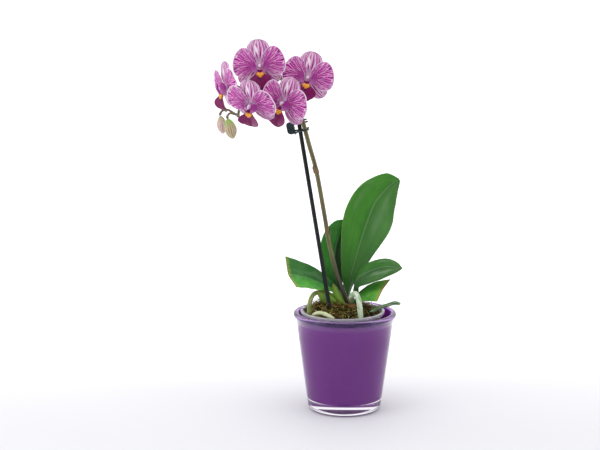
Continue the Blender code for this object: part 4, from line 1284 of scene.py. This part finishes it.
def flower_frame(number):
    """A flower's own frame, from its CAD pieces: petals to the sides, and the sepals' line upright."""
    stem = f"flower_{number}_"
    across = (centroid(stem + "petal_right") - centroid(stem + "petal_left")).normalized()
    lower = (centroid(stem + "sepal_left") + centroid(stem + "sepal_right")) / 2
    up = centroid(stem + "dorsal_sepal") - lower
    up = (up - across * up.dot(across)).normalized()
    back = up.cross(across)
    column = [vertex.co for vertex in frame["nodes"][stem + "column"].data.vertices]
    reach = max(point.dot(back) for point in column)
    end = [point for point in column if point.dot(back) > reach - 1e-5]
    origin = sum(end, Vector()) / len(end) - back * COLUMN_BACK * MM
    turn = Matrix((across, back, up)).transposed().to_4x4()
    return Matrix.Translation(origin) @ turn


def spike_girth(t, angle):
    """Radius of the spike, with a swelling at each of its nodes."""
    base = between([(0, 2.3), (0.45, 2.4), (0.65, 2.4), (1, 1.45)], t)
    knots = sum(0.16 * math.exp(-(((t - knot) / 0.009) ** 2)) for knot in SPIKE_NODES)
    return base * MM * (0.97 + knots)


def make_bract(path, t, turn, length, girth):
    """A papery scale that clasps the spike at a node."""
    base, ahead = along(path, t)
    across = ahead.cross(Vector((math.sin(turn), -math.cos(turn), 0.0))).normalized()
    outwards = across.cross(ahead).normalized()

    def place(u, v):
        angle = u * (1.9 - 1.5 * v)
        radius = girth * (1.10 + 0.18 * v)
        round_it = outwards * math.cos(angle) + across * math.sin(angle)
        return base + ahead * length * v * (1 - 0.15 * u * u) + round_it * radius

    return thickened(sheet(12, 10, place), BRACT_THICKNESS, 1.0, rounded=False)


def make_spike(frames):
    """The spike, its stalks and bracts, as one piece."""
    points = [plant_point(*point) for point in SPIKE]
    path = spline(points, 220)
    body = spike_finish()
    stalk_look = stalk_finish()
    pieces = [named(smooth(tube(path, spike_girth, 24)), "spike", body)]
    ends = []
    for (joint, bends), matrix in zip(STALKS, frames):
        start = points[joint]
        bends = [start + bend for bend in in_mm(bends)]
        ends.append([start, *bends, matrix @ Vector((0, 8.4 * MM, 0)), matrix @ Vector((0, 2.3 * MM, 0))])
    for center, axis, length, _, bends in BUDS.values():
        start = points[-1]
        axis = Vector(axis).normalized()
        top = start + Vector(center) * MM - axis * (length / 2 + 0.2) * MM
        bends = [start + bend for bend in in_mm(bends)]
        ends.append([start.lerp(points[-2], 0.15), *bends, top - axis * 1.5 * MM, top])
    for number, course in enumerate(ends):
        fluted = wobble(60 + number, 4, 7)

        def girth(t, angle):
            swell = 0.55 * math.exp(-((t / 0.09) ** 2)) + 0.35 * max(0.0, (t - 0.75) / 0.25) ** 2
            grooves = 0.06 * math.cos(3 * angle)
            return STALK_RADIUS * MM * (1 + swell + grooves + 0.04 * fluted(t, angle))

        stalk = smooth(tube(spline(course, 44), girth, 18))
        pieces.append(named(stalk, "stalk", stalk_look))
    straw = bract_finish()
    bracts = ((2.4, 8.0, 2.75), (-0.7, 8.0, 2.7), (2.2, 6.5, 2.5))
    for t, (turn, length, girth) in zip(SPIKE_NODES, bracts):
        scale = make_bract(path, t - 0.006, turn, length * MM, girth * MM)
        pieces.append(named(scale, "bract", straw))
    for joint, _ in STALKS:
        nearest = min(range(len(path)), key=lambda n: (path[n] - points[joint]).length)
        scale = make_bract(path, nearest / (len(path) - 1) - 0.004, 0.4 * joint, 3.6 * MM, 1.9 * MM)
        pieces.append(named(scale, "bract", straw))
    spike = joined(pieces, "spike")
    keep(spike, "spike", None, "flower_spike", "spike")


def make_buds():
    tip = plant_point(*SPIKE[-1])
    looks = {
        "bud_small": bud_finish("small bud", "dcc3b8", "a67c80", "b7b184"),
        "bud_large": bud_finish("large bud", "c5b98d", "8f6d6a", "8fb24a"),
    }
    for name, (center, axis, length, width, _) in BUDS.items():
        axis = Vector(axis).normalized()
        middle = tip + Vector(center) * MM
        side = axis.cross(Vector((0, 1, 0))).normalized()
        front = side.cross(axis).normalized()

        def place(u, v):
            angle = math.pi * u
            swell = math.sin(math.pi * min(max(v, 0.0), 1.0)) ** 0.66 * (0.84 + 0.22 * v)
            groove = math.exp(-((math.cos(1.5 * angle + 0.4) / 0.22) ** 2))
            seam = 1 - 0.055 * groove * math.sin(math.pi * v)
            radius = width / 2 * swell * seam
            round_it = side * math.cos(angle) + front * math.sin(angle)
            return middle + axis * (length * (v - 0.5)) * MM + round_it * radius * MM

        bud = smooth(outward(sheet(48, 36, place)))
        keep(bud, f"{name}_sepals", looks[name], name, "bud")


def make_stake():
    """The stake, from its own CAD solid's axis: a plain rod with a rounded top."""
    points = [vertex.co for vertex in frame["nodes"]["stake"].data.vertices]
    low = min(point.z for point in points)
    high = max(point.z for point in points)
    foot = [point for point in points if point.z < low + 1.2 * MM]
    top = [point for point in points if point.z > high - 0.9 * MM]
    foot = sum(foot, Vector()) / len(foot)
    top = sum(top, Vector()) / len(top)
    steps = [0.0, 0.004, 0.02, *[0.05 + 0.9 * n / 40 for n in range(41)], 0.985, 0.994, 0.998, 1.0]
    path = [foot.lerp(top, step) for step in steps]
    last = len(steps) - 1

    def girth(t, angle):
        step = steps[round(t * last)]
        end = math.sqrt(max(0.03, 1 - max(0.0, (step - 0.985) / 0.015) ** 2))
        taper = 0.55 + 0.45 * min(1.0, step / 0.02)
        return STAKE_RADIUS * MM * end * taper

    stake = smooth(tube(path, girth, 28))
    keep(stake, "stake_rod", stake_finish(), "stake", "stake_plastic")


# ---------------------------------------------------------------- flowers


def pointing(angle):
    """The direction at an angle in degrees in a flower's plane."""
    return Vector((math.cos(math.radians(angle)), 0.0, math.sin(math.radians(angle))))


def make_petal(angle, seed):
    """A broad petal. Its veins fan from its foot to its margin."""
    out = pointing(angle)
    side = Vector((0, 1, 0)).cross(out)
    ripple = wobble(seed, 3, 7, 11)

    def place(u, v):
        psi = u * math.pi * 0.93
        edge_x = PETAL_LENGTH * (0.5 + 0.5 * math.cos(psi)) ** 0.92
        edge_y = PETAL_WIDTH / 2 * math.sin(psi) * (1 + 0.16 * math.cos(psi))
        x = edge_x * v
        y = edge_y * v + 1.7 * u * (1 - v) ** 2
        far = x / PETAL_LENGTH
        wide = y / (PETAL_WIDTH / 2)
        groove = math.exp(-((wide / 0.16) ** 2))
        depth = -0.5 + 1.5 * far**2 + 1.0 * wide**2 * far - 0.9 * groove * far * (1 - far)
        depth += 0.75 * ripple(psi * 0.8, 0.0) * v**4
        return (out * (TEPAL_START + x) + side * y + Vector((0, depth, 0))) * MM

    return thickened(sheet(44, 26, place), TEPAL_THICKNESS, rounded=False)


def make_sepal(angle, width, seed):
    """A pointed oval sepal, with veins that run along it."""
    out = pointing(angle)
    side = Vector((0, 1, 0)).cross(out)
    ripple = wobble(seed, 4, 7)

    def place(u, v):
        v = 1 - (1 - v) ** 1.5
        widest = 0.56
        if v < widest:
            half = 0.24 + 0.76 * math.sin(math.pi / 2 * v / widest) ** 0.9
        else:
            half = math.sqrt(max(0.0, 1 - ((v - widest) / (1 - widest)) ** 2.1)) * 0.98 + 0.02
        y = u * width / 2 * half
        wide = y / (width / 2)
        groove = math.exp(-((wide / 0.18) ** 2))
        depth = 1.1 + 5.0 * v**2 + 1.3 * wide**2 - 0.8 * groove * v * (1 - v)
        depth += 0.5 * ripple(v * 2, u) * abs(u) ** 3
        return (out * (TEPAL_START + SEPAL_LENGTH * v) + side * y + Vector((0, depth, 0))) * MM

    return thickened(sheet(24, 34, place), TEPAL_THICKNESS, rounded=False)


def make_lip(looks):
    """The lip: a spade-shaped middle lobe, two upright side lobes and a two-horned callus between them."""
    points = [(0, -3.0, -3.8), (0, -6.6, -8.0), (0, -7.9, -12.5), (0, -7.6, -18.5), (0, -5.6, -25.2)]
    spine = spline(in_mm(points), 40)
    widths = [(0, 0.2), (0.2, 0.32), (0.38, 0.85), (0.52, 1.0)]
    widths += [(0.66, 0.86), (0.82, 0.56), (0.94, 0.3), (1, 0.08)]

    def middle(u, v):
        point, ahead = along(spine, v)
        across = Vector((1, 0, 0))
        face = ahead.cross(across)
        half = flowing(widths, v) * LIP_WIDTH / 2 * MM
        roof = 0.34 * abs(u) ** 1.5 * (1 if v < 0.75 else 0.7)
        keel = 0.10 * math.exp(-((u / 0.14) ** 2))
        return point + across * u * half + face * (roof - keel) * half

    parts = [named(thickened(sheet(26, 34, middle), LOBE_THICKNESS), "lobe", looks["lip"])]
    for hand in (-1, 1):
        points = [(0.8, -4.6, -6.8), (4.2, -6.4, -5.4), (7.0, -7.2, -1.0), (7.3, -7.0, 3.2), (5.9, -6.6, 6.0)]
        course = spline(in_mm([(hand * x, y, z) for x, y, z in points]), 30)

        def wing(u, v):
            point, ahead = along(course, v)
            across = Vector((0.85 * hand, 0.5, 0.1))
            across = (across - ahead * across.dot(ahead)).normalized()
            face = ahead.cross(across)
            half = flowing([(0, 1.6), (0.3, 2.8), (0.65, 3.9), (0.88, 3.0), (1, 0.8)], v) * MM
            return point + (across * u + face * 0.28 * u * u * hand) * half

        side = thickened(sheet(16, 24, wing), SIDE_LOBE_THICKNESS)
        parts.append(named(side, "side", looks["side lobe"]))
    for center, size in (((-1.7, -7.6, -7.6), 2.3), ((1.7, -7.6, -7.6), 2.3), ((0.0, -8.2, -9.0), 2.2)):
        bump = ball(center, size, (1.0, 0.85, 0.9), 20, 12)
        parts.append(named(bump, "callus", looks["callus"]))
    return joined(parts, "lip")


def make_column(looks):
    """The column on the flower's fleshy middle, with its pale cap at the front."""
    points = [(0, COLUMN_BACK, 0), (0, 0.5, 0.2), (0, -2.8, 0.5), (0, -5.2, 0.1), (0, -6.6, -0.6)]

    def girth(t, angle):
        share = flowing([(0, 0.62), (0.3, 0.72), (0.65, 0.98), (0.88, 0.95), (1, 0.5)], t)
        return COLUMN_RADIUS * MM * share

    stem = smooth(tube(spline(in_mm(points), 30), girth, 24))
    layer = stem.data.uv_layers["UVMap"].data
    longest = max(corner.uv.y for corner in layer)
    for corner in layer:
        corner.uv.y /= longest
    parts = [named(stem, "stem", looks["column"])]
    cap = ball((0.0, -6.3, 0.0), 1.5, (1.05, 0.85, 0.95), 24, 14)
    hub = ball((0.0, 1.3, 0.0), HUB_RADIUS, (1.0, 0.28, 1.0), 32, 16)
    parts += [named(cap, "cap", looks["cap"]), named(hub, "hub", looks["cap"])]
    return joined(parts, "column")


def flower_looks():
    return {
        "petal": petal_finish("petal magenta", 28.0, 0.9, "c81fa8", "96107e", "ffe2fa", 0.052),
        "sepal": petal_finish("sepal striped", 13.0, 0.6, "bf1aa0", "8d0d78", "fff2fd", 0.10),
        "lip": lip_finish(),
        "side lobe": side_lobe_finish(),
        "callus": callus_finish(),
        "column": column_finish(),
        "cap": cap_finish(),
    }


def make_flowers(frames):
    looks = flower_looks()
    shapes = {
        "petal_right": (make_petal(15, 1), "petal"),
        "petal_left": (make_petal(165, 2), "petal"),
        "dorsal_sepal": (make_sepal(90, DORSAL_WIDTH, 3), "sepal"),
        "sepal_right": (make_sepal(-41, LATERAL_WIDTH, 4), "sepal"),
        "sepal_left": (make_sepal(221, LATERAL_WIDTH, 5), "sepal"),
    }
    patterns = {part: (named(blade, part, looks[slot]), slot) for part, (blade, slot) in shapes.items()}
    patterns |= {"lip": (make_lip(looks), "lip"), "column": (make_column(looks), "column")}
    chance = random.Random(17)
    for number, matrix in enumerate(frames, 1):
        for part, (pattern, slot) in patterns.items():
            copy = added(part, pattern.data.copy())
            tip, turn = (Matrix.Rotation(chance.gauss(0, 0.02), 4, axis) for axis in "XZ")
            copy.data.transform(matrix @ tip @ turn if part in shapes else matrix)
            keep(copy, f"bloom_{number}_{part}", None, f"flower_{number}_{part}", slot)
    for pattern, _ in patterns.values():
        bpy.data.objects.remove(pattern, do_unlink=True)


# ---------------------------------------------------------------- clip


def clip_frame():
    """The clip's own frame: Z along its pin, X towards the spike and Y from the fixed jaw to the other."""
    hinge = frame["joints"][0]
    up = Vector(hinge["axis"]).normalized()
    apart = centroid("clip_jaw_moving") - centroid("clip_jaw_fixed")
    apart = (apart - up * apart.dot(up)).normalized()
    turn = Matrix((apart.cross(up), apart, up)).transposed().to_4x4()
    return Matrix.Translation(Vector(hinge["pos_m"])) @ turn


def make_clip():
    """Both jaws with softened edges and ribbed grips, the pin with domed heads, and the spring."""
    place = clip_frame()
    plastic, steel = clip_finish(), steel_finish()
    deselect()
    bpy.ops.mesh.primitive_cylinder_add(vertices=14, radius=0.42 * MM, depth=5.4 * MM)
    rib = modify(bpy.context.object, "BEVEL", width=0.2 * MM, segments=2, limit_method="ANGLE")
    for node, hand, body in (("clip_jaw_fixed", -1, "plant"), ("clip_jaw_moving", 1, "moving_jaw")):
        jaw = outward(added(node, frame["nodes"][node].data.copy()))
        modify(jaw, "DECIMATE", decimate_type="DISSOLVE", angle_limit=math.radians(1))
        modify(jaw, "BEVEL", width=0.16 * MM, segments=2, limit_method="ANGLE", angle_limit=math.radians(50))
        parts = [named(smooth(jaw, 35), "jaw", plastic)]
        stand = Matrix.Rotation(math.radians(90), 4, "Y")
        splay = Matrix.Rotation(-hand * math.radians(12), 4, "Z")
        shift = Matrix.Translation(Vector((-3.6, hand * 4.2, 0.0)) * MM)
        for row in (-2, -1, 0, 1, 2):
            lift = Matrix.Translation(Vector((0.0, hand * 0.72, row * RIB_SPACING)) * MM)
            copy = added("rib", rib.data.copy())
            copy.data.transform(place @ shift @ splay @ lift @ stand)
            parts.append(named(smooth(copy, 40), "rib", plastic))
        keep(joined(parts, f"{node}_grip"), f"{node}_grip", None, node, "clip_plastic", body)
    bpy.data.objects.remove(rib, do_unlink=True)

    head, shaft, reach = 1.4, 0.7, 6.7
    profile = [(0.0, -reach - 0.9), (head * 0.6, -reach - 0.75), (head, -reach - 0.2)]
    profile += [(head, -reach), (shaft, -reach)]
    profile += [(radius, -height) for radius, height in reversed(profile)]
    pin = smooth(lathe(profile, 32), 40)
    pin.data.transform(place)
    keep(pin, "pin", steel, "clip_pin", "spring_steel")

    coil = []
    for step in range(97):
        angle = math.radians(90) + TAU * 3 * step / 96
        rise = -1.5 + 3.0 * step / 96
        coil.append((COIL_RADIUS * math.cos(angle), COIL_RADIUS * math.sin(angle), rise))
    back = [(-4.2, 2.7, -1.5), (-2.2, 1.8, -1.5)]
    front = [(-2.2, -1.8, 1.5), (-4.2, -2.7, 1.5)]
    wire = spline(in_mm([*back, *coil[4:-18:3], *front]), 260)
    spring = smooth(tube(wire, lambda t, angle: WIRE_RADIUS * MM, 8))
    spring.data.transform(place)
    keep(spring, "spring", steel, "clip_spring", "spring_steel")


# ---------------------------------------------------------------- studio


def make_studio():
    deselect()
    bpy.ops.mesh.primitive_plane_add(size=12.0, location=(0.0, 3.0, 0.0))
    floor = named(bpy.context.object, "floor", floor_finish())
    settle(floor)

    world = bpy.context.scene.world or bpy.data.worlds.new("studio")
    bpy.context.scene.world = world
    world.use_nodes = True
    sky = Nodes(world.node_tree, "Background")
    heading = sky.node("ShaderNodeTexCoord")
    behind = sky.node("ShaderNodeSeparateXYZ", None, {"Vector": heading}, output=1)
    sky.put("Color", sky.blend(behind.between(-0.95, 0.05), "a8a8ac", "ffffff"))
    sky.put("Strength", 1.05)

    lamps = [
        # name, place, width and height, watts
        ("left softbox", (-1.4, -0.7, 0.6), (0.9, 1.3), 6.0),
        ("right softbox", (1.5, -0.5, 0.5), (0.8, 1.3), 4.0),
        ("top softbox", (-0.1, -0.6, 1.5), (1.2, 0.8), 5.0),
    ]
    aim = Vector((-0.02, 0.0, 0.2))
    for name, place, (width, height), power in lamps:
        lamp = bpy.data.lights.new(name, "AREA")
        lamp.shape = "RECTANGLE"
        lamp.size = width
        lamp.size_y = height
        lamp.energy = power
        lamp_object = added(name, lamp)
        lamp_object.location = place
        lamp_object.rotation_euler = (aim - Vector(place)).to_track_quat("-Z", "Y").to_euler()

    camera = bpy.data.cameras.new("camera")
    camera.lens = CAMERA_LENS
    camera.sensor_width = 36.0
    camera_object = added("camera", camera)
    camera_object.location = CAMERA_PLACE
    camera_object.rotation_euler = (math.radians(90 - CAMERA_TILT), 0.0, 0.0)
    bpy.context.scene.camera = camera_object
    bpy.context.scene.view_settings.view_transform = "Standard"


def main():
    make_studio()
    make_jar()
    make_pot()
    height = soil_surface()
    make_mound(height)
    make_bark(height)
    make_moss(height)
    make_chips()
    make_crown()
    make_sheaths()
    for name, leaf in LEAVES.items():
        make_leaf(name, leaf)
    make_roots()
    frames = [flower_frame(number) for number in range(1, 6)]
    make_spike(frames)
    make_buds()
    make_stake()
    make_flowers(frames)
    make_clip()


main()
